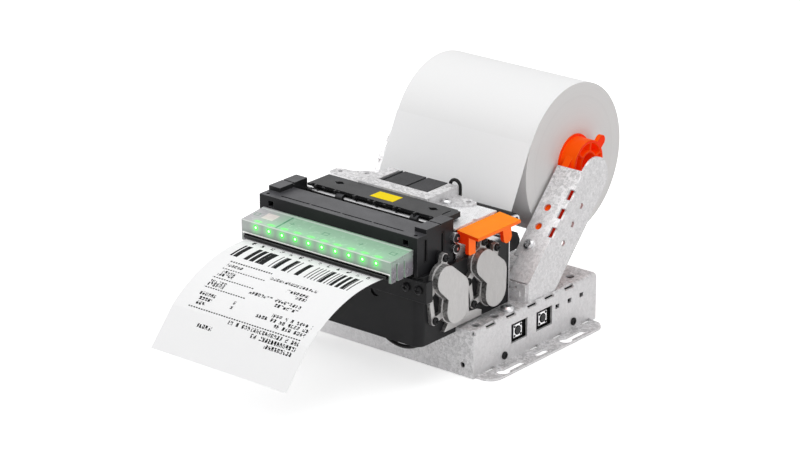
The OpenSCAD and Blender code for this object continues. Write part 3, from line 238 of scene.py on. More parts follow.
def make_soft_edge():
    """Rounds the look of sharp edges; lighter edges are partly rubbed, partly painted highlight."""
    t, given, out = new_group("soft_edge", [("Radius", FLOAT, 0.00025)],
                              [("Normal", VECTOR), ("RubAndHighlight", FLOAT), ("Rim", FLOAT)])
    round_off = t.node("ShaderNodeBevel", samples=4)
    t.put(round_off.inputs["Radius"], given["Radius"])
    flat = t.node("ShaderNodeNewGeometry").outputs["Normal"]
    dot = t.node("ShaderNodeVectorMath", operation="DOT_PRODUCT")
    t.put(dot.inputs[0], round_off.outputs[0])
    t.put(dot.inputs[1], flat)
    where, _ = t.place()
    scuffs = t.noise(where, 0.9, 5.0, 0.7)
    t.put(out["Normal"], round_off.outputs[0])
    rim = t.scale(dot.outputs["Value"], 0.99, 0.8)
    t.put(out["RubAndHighlight"], t.mul(rim, t.scale(scuffs, 0.35, 0.65, 0.2, 1.0)))
    t.put(out["Rim"], rim)
    return t.tree


def make_brushing():
    """Short drawn lines along X with a few deeper ones."""
    t, given, out = new_group("drawn_lines", [("Across", FLOAT, 9.0), ("Along", FLOAT, 0.25)],
                              [("Lines", FLOAT), ("Patches", FLOAT)])
    where, xyz = t.place()
    stretched = t.join(t.mul(xyz[0], given["Along"]), t.mul(xyz[1], given["Across"]),
                       t.mul(xyz[2], given["Across"]))
    t.put(out["Lines"], t.noise(stretched, 1.0, 4.0, 0.7))
    t.put(out["Patches"], t.noise(where, 0.12, 3.0))
    return t.tree


SPANGLE = make_spangle()
GRAIN = make_grain()
SOFT_EDGE = make_soft_edge()
BRUSHING = make_brushing()


def start(name):
    """A new material with its Principled shader, and the tree to work in."""
    material = bpy.data.materials.new(name)
    material.use_nodes = True
    t = Tree(material.node_tree)
    shader = material.node_tree.nodes["Principled BSDF"]
    return material, t, shader


def use(t, tree, **values):
    n = t.node("ShaderNodeGroup", node_tree=tree)
    for key, value in values.items():
        t.put(n.inputs[key], value)
    return n.outputs


def raise_bumps(t, shader, height, strength, distance=0.0002, normal=None):
    bump = t.node("ShaderNodeBump")
    bump.inputs["Strength"].default_value = strength
    bump.inputs["Distance"].default_value = distance
    t.put(bump.inputs["Height"], height)
    if normal is not None:
        t.put(bump.inputs["Normal"], normal)
    t.put(shader.inputs["Normal"], bump.outputs[0])


def shade(base, k):
    return (base[0] * k, base[1] * k, base[2] * k, 1.0)


def set_colour(t, shader, value):
    t.put(shader.inputs["Base Color"], value)


def set_roughness(t, shader, value, low, high, start=0.3, end=0.7):
    """Roughness goes from low to high as value goes from start to end."""
    t.put(shader.inputs["Roughness"], t.scale(value, start, end, low, high))


# ---------------------------------------------------------------- materials

def galvanized(name, base=(0.66, 0.652, 0.66), contrast=1.7, painted_light_span=(0, 45.0, -15.0)):
    """Zinc sheet, with painted light that brightens faces turned to -Y. The last argument says
    where the painted light is strongest: the axis to follow, where it starts and where it is full."""
    material, t, shader = start(name)
    _, xyz = t.place()
    zinc = use(t, SPANGLE, Contrast=contrast)
    edge = use(t, SOFT_EDGE, Radius=0.0003)
    tone = t.scale(zinc["Tone"], 0.2, 0.8)
    colour = t.mix(tone, shade(base, 0.56), shade(base, 1.36))
    # painted light: a brighter tone for faces turned to -Y, strongest where the last argument says
    painted_light_colour = t.mix(tone, shade(base, 1.24), shade(base, 1.5))
    share = t.scale(xyz[painted_light_span[0]], painted_light_span[1], painted_light_span[2], 0.2, 1.0)
    colour = t.mix(t.mul(t.scale(t.facing()[1], -0.4, -0.8), share), colour, painted_light_colour)
    # lighter edges: partly rubbed, partly painted highlight
    set_colour(t, shader, t.mix(t.mul(edge["RubAndHighlight"], 0.45), colour, shade(base, 1.45)))
    set_roughness(t, shader, zinc["Polish"], 0.34, 0.56, 0.2, 0.8)
    shader.inputs["Metallic"].default_value = 0.4
    raise_bumps(t, shader, zinc["Height"], 0.2, 0.0001, edge["Normal"])
    return material


def cast_metal(name, base=(0.485, 0.475, 0.47)):
    """Die-cast covers: a calm brushed face and streaky walls darkened by painted shade."""
    material, t, shader = start(name)
    where, xyz = t.place()
    grain = use(t, GRAIN, Fine=3.2, Broad=0.16)
    edge = use(t, SOFT_EDGE, Radius=0.0006)
    drawn_out = t.join(t.mul(xyz[0], 0.12), t.mul(xyz[1], 0.5), t.mul(xyz[2], 0.16))
    streaks = t.noise(drawn_out, 1.0, 5.0, 0.7, 1.4)
    swirl = t.noise(where, 0.32, 4.0, 0.6, 2.6)
    face = t.ease(t.absolute(t.facing()[0]), 0.6, 0.85)
    lines = t.scale(t.add(t.mul(streaks, 0.7), t.mul(grain["Fine"], 0.3)), 0.3, 0.7)
    clouds = t.scale(t.add(t.mul(swirl, 0.6), t.mul(streaks, 0.4)), 0.36, 0.62)
    calm = t.mix(lines, shade(base, 0.9), shade(base, 1.1))
    # painted shade: the walls are darker and streaky
    wall = t.mix(clouds, shade(base, 0.1), shade(base, 1.0))
    colour = t.mix(face, wall, calm)
    # lighter edges: partly rubbed, partly painted highlight
    set_colour(t, shader, t.mix(t.mul(edge["RubAndHighlight"], 0.6), colour, shade(base, 1.5)))
    set_roughness(t, shader, swirl, 0.3, 0.48)
    shader.inputs["Metallic"].default_value = 0.55
    raise_bumps(t, shader, t.add(grain["Fine"], t.mul(swirl, 0.5)), 0.2, 0.00012, edge["Normal"])
    return material


def moulded(name, base, rough=0.42, grain_size=5.0, rub_highlight_tone=(0.2, 0.2, 0.205), rub_and_highlight=0.6,
            bumps=0.22, shine=0.16, top=1.0, slots=()):
    """Moulded plastic. Upward faces get painted light by top; slot openings get painted shade."""
    material, t, shader = start(name)
    grain = use(t, GRAIN, Fine=grain_size, Broad=0.09)
    edge = use(t, SOFT_EDGE, Radius=0.0004)
    patches = t.scale(grain["Broad"], 0.3, 0.7)
    colour = t.mix(patches, shade(base, 0.85), shade(base, 1.18))
    # painted light: upward faces are lighter and more specular, by top
    if top > 1.0:
        upward = t.ease(t.facing()[2], 0.4, 0.9)
        lighter = t.mix(patches, shade(base, 0.7 * top), shade(base, 1.3 * top))
        colour = t.mix(upward, colour, lighter)
        t.put(shader.inputs["Specular IOR Level"], t.scale(upward, 0.0, 1.0, 0.5 * shine, shine))
    else:
        shader.inputs["Specular IOR Level"].default_value = shine
    # lighter edges: partly rubbed, partly painted highlight
    colour = t.mix(t.mul(edge["RubAndHighlight"], rub_and_highlight), colour, (*rub_highlight_tone, 1.0))
    # painted shade: slot openings turn near black
    if slots:
        xyz = t.place()[1]
        turned = t.facing()
    for side, across, centre, half, along, low, high in slots:
        opening = t.mul(line_at(t, xyz[across], centre, half), t.between(xyz[along], low, high))
        opening = t.mul(opening, t.above(t.absolute(turned[side]), 0.5))
        colour = t.mix(opening, colour, (0.001, 0.001, 0.001, 1.0))
    set_colour(t, shader, colour)
    set_roughness(t, shader, grain["Fine"], rough - 0.05, rough + 0.09)
    raise_bumps(t, shader, grain["Fine"], bumps, 0.00006, edge["Normal"])
    return material


def lever_plastic(name, top=(1.0, 0.275, 0.002), sides=(1.0, 0.13, 0.008),
                  front=(1.0, 0.035, 0.001)):
    """Bright orange, painted deeper and redder as shade on upright faces, most on those to -Y."""
    material, t, shader = start(name)
    grain = use(t, GRAIN, Fine=4.0, Broad=0.12)
    edge = use(t, SOFT_EDGE, Radius=0.0003)
    # painted light and shade: upward faces lighter orange, upright faces redder, deepest to -Y
    upward = t.ease(t.facing()[2], 0.2, 0.7)
    forward = t.ease(t.facing()[1], -0.3, -0.8)
    upright = t.mix(forward, shade(sides, 1.0), shade(front, 1.0))
    colour = t.mix(upward, upright, shade(top, 1.0))
    colour = t.mix(t.mul(t.scale(grain["Broad"], 0.3, 0.7), 0.2), colour, shade(sides, 1.0))
    # lighter edges: partly rubbed, partly painted highlight
    set_colour(t, shader, t.mix(t.mul(edge["RubAndHighlight"], 0.3), colour, (1.0, 0.36, 0.06, 1.0)))
    set_roughness(t, shader, grain["Fine"], 0.38, 0.5)
    shader.inputs["Specular IOR Level"].default_value = 0.08
    # painted glow: orange emission, strongest on upright faces not turned to -Y
    glow = t.mix(t.either(upward, forward), (0.16, 0.06, 0.012, 1), (0.02, 0.0, 0.0, 1))
    t.put(shader.inputs["Emission Color"], glow)
    shader.inputs["Emission Strength"].default_value = 1.0
    raise_bumps(t, shader, grain["Fine"], 0.12, 0.00006, edge["Normal"])
    return material


def hub_plastic(name):
    """Bright orange hub; its end faces are painted redder as shade."""
    material, t, shader = start(name)
    grain = use(t, GRAIN, Fine=4.0, Broad=0.12)
    edge = use(t, SOFT_EDGE, Radius=0.0006)
    # painted shade: the end faces turn redder
    end = t.ease(t.absolute(t.facing()[0]), 0.5, 0.9)
    colour = t.mix(end, (1.0, 0.11, 0.001, 1), (1.0, 0.035, 0.002, 1))
    colour = t.mix(t.mul(grain["Broad"], 0.2), colour, (0.9, 0.06, 0.001, 1))
    # painted highlight: lighter orange on the rims
    set_colour(t, shader, t.mix(t.mul(edge["Rim"], 0.7), colour, (1.0, 0.27, 0.03, 1)))
    set_roughness(t, shader, grain["Fine"], 0.36, 0.48)
    shader.inputs["Specular IOR Level"].default_value = 0.06
    # painted glow: a faint red emission
    shader.inputs["Emission Color"].default_value = (1.0, 0.02, 0.0, 1.0)
    shader.inputs["Emission Strength"].default_value = 0.1
    raise_bumps(t, shader, grain["Fine"], 0.12, 0.00006, edge["Normal"])
    return material


def drawn_steel(name, base=(0.6, 0.6, 0.61), rough=0.28, across=9.0, along=0.25):
    """Bare metal with drawn lines."""
    material, t, shader = start(name)
    lines = use(t, BRUSHING, Across=across, Along=along)
    edge = use(t, SOFT_EDGE, Radius=0.00015)
    colour = t.mix(lines["Lines"], shade(base, 0.75), shade(base, 1.25))
    # lighter edges: partly rubbed, partly painted highlight
    set_colour(t, shader, t.mix(t.mul(edge["RubAndHighlight"], 0.4), colour, shade(base, 1.4)))
    set_roughness(t, shader, lines["Patches"], rough - 0.08, rough + 0.1)
    shader.inputs["Metallic"].default_value = 1.0
    raise_bumps(t, shader, lines["Lines"], 0.12, 0.00005, edge["Normal"])
    return material


def speckled_deck(name):
    """Bright sheet with a fine dark speckle."""
    material, t, shader = start(name)
    where, _ = t.place()
    specks = t.noise(where, 2.6, 5.0, 0.8)
    clouds = t.noise(where, 0.25, 2.0)
    edge = use(t, SOFT_EDGE, Radius=0.0002)
    tone = t.scale(t.add(specks, t.mul(t.sub(clouds, 0.5), 0.16)), 0.36, 0.52)
    set_colour(t, shader, t.mix(tone, (0.4, 0.4, 0.405, 1), (0.95, 0.95, 0.96, 1)))
    set_roughness(t, shader, specks, 0.3, 0.5, 0.35, 0.65)
    shader.inputs["Metallic"].default_value = 0.4
    raise_bumps(t, shader, specks, 0.15, 0.0001, edge["Normal"])
    return material


def line_at(t, value, centre, half, soft=0.15):
    """A soft-edged line where value is within half of centre."""
    return t.fade(t.absolute(t.sub(value, centre)), half, half + soft)


def seen_through(t, x, y):
    """Moulded marks under the frosted top: square bosses, crosses, a rib and a connector."""
    depth = t.sub(y, BEZEL_MID_Y)
    from_middle = t.absolute(depth)
    marks = []
    for at, width in ((-41.0, 1.3), (0.0, 1.5), (39.0, 1.5)):
        square = t.either(t.mul(t.absolute(t.sub(x, at)), 1.1 / width), from_middle)
        marks.append(line_at(t, square, 1.1, 0.16))
    for at in (-20.0, 20.5):
        beside = t.sub(x, at)
        marks.append(t.mul(line_at(t, beside, 0.0, 0.12), t.below(from_middle, 1.5)))
        marks.append(t.mul(line_at(t, depth, 0.0, 0.12), t.below(t.absolute(beside), 1.5)))
    rib = t.mul(line_at(t, x, -24.0, 0.35, 0.3), t.between(y, -87.0, -73.4))
    connector = t.mul(line_at(t, x, -33.6, 3.1, 0.5), line_at(t, y, -79.6, 2.6, 0.5))
    return t.any_of(marks), rib, connector


def frosted_cover(name):
    """Frosted cover; the green light of the lamps behind its front wall is painted on it."""
    material, t, shader = start(name)
    where, (x, y, z) = t.place()
    nx, ny, nz = t.facing()
    front = t.mul(t.below(ny, -0.7), t.below(t.absolute(x), 43.4))
    top = t.above(nz, 0.7)
    end = t.above(t.absolute(nx), 0.6)
    # painted lamp light on the front wall: a green ring, a white core and a halo at each lamp
    along = t.mul(t.sub(t.fract(t.divide(x, LAMP_PITCH)), 0.5), LAMP_PITCH)
    row = t.below(t.absolute(x), LAMP_REACH_X)
    lit = t.mul(front, row)
    reach = t.length(along, t.sub(z, LAMP_Z))
    ring = t.mul(lit, t.fade(reach, 1.05, 1.5))
    core = t.mul(lit, t.fade(reach, 0.6, 0.85))
    halo = t.mul(lit, t.fade(reach, 1.0, 4.4))
    # light on the top, close behind the front wall: a long glow with a brighter streak at each lamp
    inward = t.absolute(t.sub(y, BEZEL_FRONT_Y))
    streak_reach = t.length(t.mul(along, math.sqrt(0.2)), inward)
    streak = t.mul(t.mul(top, row), t.fade(streak_reach, 0.25, 1.5))
    wash = t.mul(t.mul(top, t.ease(t.absolute(x), 42.0, 34.0)), t.fade(inward, 0.0, 7.5))
    # painted lamp light: the body turns greener towards the middle of the lamp row
    spread = t.ease(t.absolute(t.sub(x, 10.0)), 50.0, 30.0)
    frost = t.noise(where, 0.35, 3.0, 0.5)
    bosses, rib, connector = seen_through(t, x, y)
    back = line_at(t, y, -73.9, 0.5)
    lip = t.mul(top, line_at(t, y, -88.2, 0.9))
    # painted highlight: light outlines on the front rims and the edges
    edges = t.either(line_at(t, z, 59.1, 0.3, 0.2), t.mul(line_at(t, z, 65.2, 0.25), 0.5))
    rim = t.mul(front, edges)
    low = t.mul(front, t.ease(z, 61.6, 59.6))
    edge = use(t, SOFT_EDGE, Radius=0.0009)
    body = t.mix(spread, (0.5, 0.49, 0.51, 1), (0.33, 0.57, 0.39, 1))
    body = t.mix(t.mul(frost, 0.16), body, (0.66, 0.74, 0.68, 1))
    body = t.mix(t.mul(front, 0.55), body, (0.5, 0.58, 0.52, 1))
    body = t.mix(t.mul(low, 0.5), body, (0.3, 0.36, 0.32, 1))
    body = t.mix(t.mul(t.mul(top, connector), 0.85), body, (0.86, 0.79, 0.75, 1))
    marks = t.mul(top, t.either(t.mul(bosses, 0.55), t.mul(rib, 0.8)))
    body = t.mix(marks, body, (0.05, 0.25, 0.12, 1))
    body = t.mix(t.mul(top, t.mul(back, 0.6)), body, (0.82, 0.9, 0.84, 1))
    body = t.mix(t.mul(lip, 0.7), body, (0.66, 0.7, 0.67, 1))
    end_tone = t.mix(t.ease(z, 60.5, 64.5), (0.44, 0.41, 0.46, 1), (0.62, 0.74, 0.67, 1))
    body = t.mix(end, body, end_tone)
    outline = t.either(rim, t.mul(edge["Rim"], t.either(end, 0.35)))
    body = t.mix(outline, body, (0.96, 0.97, 0.96, 1))
    # painted lamp light in the base colour: green streaks on the top and rings on the front
    body = t.mix(t.mul(streak, 0.8), body, (0.12, 0.5, 0.12, 1))
    set_colour(t, shader, t.mix(ring, body, (0.02, 0.5, 0.02, 1)))
    # painted glow of the lamps: a wash and streaks on the top, halos and rings on the front, rims
    glow = t.mix(t.mul(wash, 0.14), (0.0, 0.0, 0.0, 1), (0.05, 0.75, 0.12, 1))
    glow = t.mix(t.mul(halo, 0.3), glow, (0.02, 0.9, 0.05, 1))
    glow = t.mix(t.mul(streak, 0.85), glow, (0.1, 0.8, 0.1, 1))
    glow = t.mix(ring, glow, (0.05, 0.92, 0.05, 1))
    glow = t.mix(t.mul(rim, 0.4), glow, (0.9, 0.9, 0.86, 1))
    t.put(shader.inputs["Emission Color"], t.mix(core, glow, (1.0, 1.0, 1.0, 1)))
    shader.inputs["Emission Strength"].default_value = 1.0
    set_roughness(t, shader, frost, 0.2, 0.3)
    t.put(shader.inputs["Transmission Weight"], t.mul(end, 0.5))
    shader.inputs["IOR"].default_value = 1.3
    raise_bumps(t, shader, frost, 0.06, 0.0001, edge["Normal"])
    return material


def lamp(name, colour, strength):
    """Lit lens with a slightly uneven core."""
    material, t, shader = start(name)
    where, _ = t.place()
    core = t.noise(where, 1.0, 1.0)
    set_colour(t, shader, t.mix(core, shade(colour, 0.7), shade(colour, 1.0)))
    t.put(shader.inputs["Emission Color"], t.mix(core, shade(colour, 0.9), shade(colour, 1.1)))
    shader.inputs["Emission Strength"].default_value = strength
    shader.inputs["Roughness"].default_value = 0.3
    return material


def circuit_board(name, base, mask_shine=0.35):
    """Board with faint tracks under its lacquer."""
    material, t, shader = start(name)
    where, _ = t.place()
    cells = t.cells(where, 0.22, "DISTANCE_TO_EDGE")
    tracks = t.below(cells.outputs["Distance"], 0.06)
    grain = use(t, GRAIN, Fine=3.0, Broad=0.1)
    edge = use(t, SOFT_EDGE, Radius=0.0002)
    colour = t.mix(t.mul(tracks, 0.6), shade(base, 0.9), shade(base, 1.6))
    # lighter edges: partly rubbed, partly painted highlight
    set_colour(t, shader, t.mix(t.mul(edge["RubAndHighlight"], 0.5), colour, (0.5, 0.45, 0.3, 1)))
    set_roughness(t, shader, grain["Fine"], mask_shine - 0.05, mask_shine + 0.1)
    raise_bumps(t, shader, tracks, 0.2, 0.00005, edge["Normal"])
    return material


def roll_paper(name):
    """Wound paper: a plain outside and fine windings on the two ends."""
    material, t, shader = start(name)
    where, xyz = t.place()
    radius = t.length(t.sub(xyz[1], ROLL_AXIS_Y), t.sub(xyz[2], ROLL_AXIS_Z))
    on_end = t.above(t.absolute(t.facing()[0]), 0.5)
    rings = t.noise(t.join(t.mul(radius, 2.2), 0.0, 0.0), 1.0, 5.0, 0.8)
    broad = t.noise(t.join(t.mul(radius, 0.25), 0.0, 4.0), 1.0, 2.0)
    fibre = t.noise(where, 1.8, 4.0, 0.7)
    windings = t.add(t.mul(rings, 0.6), t.mul(broad, 0.4))
    end_tone = t.mix(windings, (0.6, 0.595, 0.59, 1), (0.82, 0.815, 0.81, 1))
    side_tone = t.mix(fibre, (0.84, 0.84, 0.845, 1), (0.9, 0.9, 0.9, 1))
    set_colour(t, shader, t.mix(on_end, side_tone, end_tone))
    set_roughness(t, shader, fibre, 0.55, 0.7)
    raise_bumps(t, shader, t.mul(on_end, rings), 0.3, 0.00015)
    return material


def plain_paper(name, tone=(0.9, 0.9, 0.905)):
    """Blank paper with a faint fibre."""
    material, t, shader = start(name)
    where, _ = t.place()
    fibre = t.noise(where, 1.6, 5.0, 0.7)
    set_colour(t, shader, t.mix(fibre, shade(tone, 0.96), shade(tone, 1.03)))
    set_roughness(t, shader, fibre, 0.5, 0.62)
    raise_bumps(t, shader, fibre, 0.08, 0.0001)
    return material


# Dashed lines: distance along the receipt, from, to, half their thickness
DASHES = [
    (65.0, -30.4, -5.3, 0.45), (70.6, -30.2, -5.2, 0.3), (77.0, -30.6, -6.3, 0.3),
    (83.4, -30.6, -6.5, 0.3), (95.0, -31.4, 34.4, 0.3),
]
# Rows of dot marks: distance along the receipt, from, to
ROWS = [
    (67.8, -29.5, -20.3), (67.9, -3.9, 23.6), (72.6, -28.2, -20.5), (72.4, 9.5, 22.0),
    (74.7, -29.4, -19.9), (74.8, 16.0, 22.5), (79.4, -7.1, 23.2), (79.6, -29.8, -20.5),
    (81.5, -29.8, -20.3), (82.0, 9.8, 23.1), (87.2, -30.0, -20.9), (87.4, 12.7, 35.6),
    (89.8, -29.0, -21.5), (89.8, 5.0, 35.4), (92.3, -30.4, -23.4), (92.2, 17.0, 35.2),
    (96.9, -6.4, 34.4), (99.4, 8.0, 34.2), (101.9, 17.7, 33.6), (101.9, -21.6, -13.1),
    (87.2, -10.2, -9.0), (89.8, -10.2, -9.0), (92.3, -10.2, -9.0),
]
ROW_HALF = 0.92
# Bars: step, shift, share left blank, seed, share of the step that is black
BARS = [(1.9, 0.1, 0.2, 3.0, 0.32), (3.1, 0.8, 0.5, 9.0, 0.6), (4.3, 0.3, 0.6, 5.0, 0.5)]


def printed_paper(name):
    """Receipt paper with plain bars, dashes and rows of dot marks."""
    material, t, shader = start(name)
    where, (x, y, _) = t.place()
    sine = t.either(t.divide(t.sub(CURL_Y, y), CURL_RADIUS), 0.0)
    lean = t.math("ARCSINE", t.math("MINIMUM", sine, 0.98))
    # s is the distance along the paper: level up to the curl, then round it
    level = t.math("MINIMUM", t.sub(CUTTER_Y, y), CUTTER_Y - CURL_Y)
    s = t.add(level, t.mul(lean, CURL_RADIUS))
    strokes = []
    for step, push, blank, seed, fill in BARS:
        place = t.divide(t.add(x, push), step)
        black = t.above(t.dice(t.join(t.floor(place), seed, 1.0)), blank)
        strokes.append(t.mul(black, t.below(t.fract(place), fill)))
    bars = t.mul(t.any_of(strokes), t.mul(t.between(s, 49.6, 61.0), t.between(x, -34.2, 37.0)))
    # dot marks in cells of four columns, the last of them empty, with a few cells left out
    column = t.floor(t.divide(x, 0.42))
    line = t.floor(t.divide(s, 0.46))
    gap = t.below(t.modulo(column, 4.0), 2.5)
    word = t.above(t.dice(t.join(t.floor(t.divide(x, 1.68)), t.floor(t.divide(s, 2.4)), 5.0)), 0.14)
    dots = t.mul(t.above(t.dice(t.join(column, line, 2.0)), 0.27), t.mul(gap, word))
    rows = t.any_of([t.mul(t.between(s, at - ROW_HALF, at + ROW_HALF), t.between(x, left, right))
                     for at, left, right in ROWS])
    # small marks in a row above the bars
    spaced = t.mul(t.between(x, -34.5, 36.0), t.below(t.modulo(x, 5.6), 1.7))
    figures = t.mul(t.between(s, 44.6, 47.2), spaced)
    specks = t.dice(t.join(t.floor(t.divide(x, 0.56)), t.floor(t.divide(s, 0.65)), 8.0))
    marks = t.mul(t.above(specks, 0.4), figures)
    ink = t.either(bars, t.either(t.mul(dots, rows), marks))
    dash = t.below(t.modulo(x, 1.5), 1.0)
    for at, left, right, half in DASHES:
        stretch = t.mul(t.between(s, at - half, at + half), t.between(x, left, right))
        ink = t.either(ink, t.mul(dash, stretch))
    ink = t.mul(ink, t.above(t.facing()[2], 0.3))
    fibre = t.noise(where, 1.6, 5.0, 0.7)
    paper = t.mix(fibre, (0.9, 0.9, 0.905, 1), (0.96, 0.96, 0.965, 1))
    # painted shadow under the frosted cover: the paper greys close to the exit
    paper = t.mix(t.mul(t.ease(s, 50.0, 41.0), 0.5), paper, (0.4, 0.4, 0.41, 1))
    set_colour(t, shader, t.mix(ink, paper, (0.006, 0.006, 0.007, 1)))
    set_roughness(t, shader, fibre, 0.55, 0.66)
    shader.inputs["Specular IOR Level"].default_value = 0.12
    raise_bumps(t, shader, fibre, 0.08, 0.0001)
    return material


def card(name):
    """Grey card, wound along the roll."""
    material, t, shader = start(name)
    _, xyz = t.place()
    wind = t.noise(t.join(t.mul(xyz[0], 0.2), t.mul(xyz[1], 1.4), t.mul(xyz[2], 1.4)), 1.0, 4.0)
    set_colour(t, shader, t.mix(wind, (0.62, 0.6, 0.58, 1), (0.8, 0.78, 0.76, 1)))
    set_roughness(t, shader, wind, 0.75, 0.9)
    raise_bumps(t, shader, wind, 0.3, 0.0002)
    return material


# Openings in the cover, painted dark as shade.
# Columns: axis faced, axis across, centre, half width, axis along, from, to
COVER_SLOT_SHADE = [(0, 1, -66.7, 1.2, 2, 59.8, 70.6), (0, 1, -54.4, 1.1, 2, 59.8, 71.0)]
COVER_SLOT_SHADE += [(2, 1, -68.85, 0.4, 0, left, left + 17.35) for left in (-36.5, -18.25, 0.0, 18.25)]

FINISHES = {
    "galvanized": galvanized("galvanized"),
    "bright_steel": drawn_steel("bright_steel"),
    "black_steel": moulded("black_steel", (0.008, 0.008, 0.009), 0.3, 2.5, (0.3, 0.3, 0.3), 0.25,
                           0.15),
    "board_green": circuit_board("board_green", (0.015, 0.12, 0.05)),
    "board_black": circuit_board("board_black", (0.012, 0.012, 0.014)),
    "board_white": circuit_board("board_white", (0.62, 0.64, 0.62)),
    "socket_grey": drawn_steel("socket_grey", (0.5, 0.5, 0.51), 0.35, 4.0, 2.0),
    "button_black": moulded("button_black", (0.045, 0.045, 0.047), 0.5),
    "lamp_clear": moulded("lamp_clear", (0.02, 0.024, 0.03), 0.2, 3.0, bumps=0.05, shine=0.4),
    "orange_plastic": hub_plastic("orange_plastic"),
    "core_card": card("core_card"),
    "roll_paper": roll_paper("roll_paper"),
    "paper": plain_paper("paper"),
    "receipt_paper": printed_paper("receipt_paper"),
    "black_plastic": moulded("black_plastic", (0.012, 0.012, 0.013), 0.4),
    "cover_plastic": moulded("cover_plastic", (0.015, 0.015, 0.0165), 0.34, 4.0, shine=0.26,
                             top=3.8, slots=COVER_SLOT_SHADE),
    "guide_plastic": moulded("guide_plastic", (0.02, 0.02, 0.021), 0.4, 4.0,
                             (0.32, 0.32, 0.325), 0.8, shine=0.24, top=1.5),
    "cable_black": moulded("cable_black", (0.01, 0.01, 0.01), 0.35, 2.0, rub_and_highlight=0.0),
    "frosted": frosted_cover("frosted"),
    "lamp_green": lamp("lamp_green", (0.35, 1.0, 0.45), 9.0),
    "chrome": drawn_steel("chrome", (0.78, 0.78, 0.79), 0.16, 3.0, 0.6),
    "rubber": moulded("rubber", (0.02, 0.02, 0.02), 0.6, 3.0, rub_and_highlight=0.0),
    "gear_plastic": moulded("gear_plastic", (0.72, 0.7, 0.64), 0.4, 4.0, (0.8, 0.8, 0.75), 0.2),
    "brass": drawn_steel("brass", (0.65, 0.46, 0.18), 0.3, 6.0, 2.0),
    "motor_steel": drawn_steel("motor_steel", (0.42, 0.42, 0.43), 0.35, 2.0, 5.0),
    "die_cast": cast_metal("die_cast"),
    "blade_steel": drawn_steel("blade_steel", (0.4, 0.42, 0.45), 0.3, 2.0, 7.0),
    "deck_steel": speckled_deck("deck_steel"),
    "dark_heat_sink": moulded("dark_heat_sink", (0.03, 0.03, 0.033), 0.42, 2.0,
                              (0.25, 0.25, 0.26), 0.4),
}

# Pieces whose finish differs from the others of their slot
# The arms: stronger mottling, and painted light on their lower faces turned to -Y
ARM_ZINC = galvanized("arm_zinc", contrast=3.2, painted_light_span=(2, 90.0, 55.0))
OWN_FINISH = {
    "arm_left": ARM_ZINC,
    "arm_right": ARM_ZINC,
    # the rear gear cover: a darker copy of the die-cast finish, as painted shade
    "gear_cover_rear": cast_metal("die_cast_rear_shaded", (0.43, 0.42, 0.415)),
    "release_lever": lever_plastic("lever_orange"),
    "cross_shaft": drawn_steel("dark_shaft", (0.26, 0.26, 0.265), 0.3, 3.0, 0.6),
    "switch_bodies": drawn_steel("switch_plate", (0.86, 0.86, 0.87), 0.35, 4.0, 2.0),
}

slot_of = {part["node"]: part["material_slot"] for part in frame["record"]["subparts"]}
for name, piece in nodes.items():
    piece.data.materials.clear()
    piece.data.materials.append(OWN_FINISH.get(name) or FINISHES[slot_of[name]])


# ---------------------------------------------------------------- added pieces

def clear_selection():
    if bpy.context.object and bpy.context.object.mode != "OBJECT":
        bpy.ops.object.mode_set(mode="OBJECT")
    bpy.ops.object.select_all(action="DESELECT")


def settle(name, scale=(1.0, 1.0, 1.0)):
    """Names the new primitive, sizes it and applies its transforms."""
    piece = bpy.context.object
    piece.name = name
    piece.scale = scale
    bpy.ops.object.transform_apply(location=True, rotation=True, scale=True)
    return piece


def apply_modifier(piece, kind, **settings):
    step = piece.modifiers.new(kind.lower(), kind)
    for key, value in settings.items():
        setattr(step, key, value)
    bpy.ops.object.modifier_apply(modifier=step.name)


def smooth_faces():
    bpy.ops.object.shade_smooth_by_angle(angle=math.radians(40))


def add_box(name, x0, x1, y0, y1, z0, z1, bevel, segments):
    """A block by its limits in millimetres, with round edges."""
    clear_selection()
    centre = ((x0 + x1) / 2 * MM, (y0 + y1) / 2 * MM, (z0 + z1) / 2 * MM)
    bpy.ops.mesh.primitive_cube_add(size=1, location=centre)
    piece = settle(name, ((x1 - x0) * MM, (y1 - y0) * MM, (z1 - z0) * MM))
    apply_modifier(piece, "BEVEL", width=bevel * MM, segments=segments)
    smooth_faces()
    return piece


def label_paper(name):
    """Bare yellow label."""
    material, t, shader = start(name)
    where, _ = t.place()
    fibre = t.noise(where, 1.2, 4.0)
    set_colour(t, shader, t.mix(fibre, (0.86, 0.64, 0.0, 1), (0.96, 0.74, 0.001, 1)))
    set_roughness(t, shader, fibre, 0.45, 0.6)
    shader.inputs["Specular IOR Level"].default_value = 0.08
    raise_bumps(t, shader, fibre, 0.1, 0.0001)
    return material


def add_switch_carrier(name, y):
    """Black plate with a square opening, round one small switch behind the side wall."""
    clear_selection()
    bpy.ops.mesh.primitive_plane_add(size=1, location=(SWITCH_X * MM, y * MM, SWITCH_Z * MM),
                                     rotation=(0, QUARTER, 0))
    piece = settle(name, (11.2 * MM, 13.8 * MM, 1))
    bpy.ops.object.mode_set(mode="EDIT")
    bpy.ops.mesh.select_all(action="SELECT")
    bpy.ops.mesh.inset(thickness=2.3 * MM)
    bpy.ops.mesh.delete(type="FACE")
    bpy.ops.object.mode_set(mode="OBJECT")
    apply_modifier(piece, "SOLIDIFY", thickness=2.8 * MM, offset=1.0)
    apply_modifier(piece, "BEVEL", width=0.15 * MM, segments=2)
    bpy.ops.object.mode_set(mode="EDIT")
    bpy.ops.mesh.select_all(action="SELECT")
    bpy.ops.mesh.normals_make_consistent(inside=False)
    bpy.ops.object.mode_set(mode="OBJECT")
    smooth_faces()
    return piece


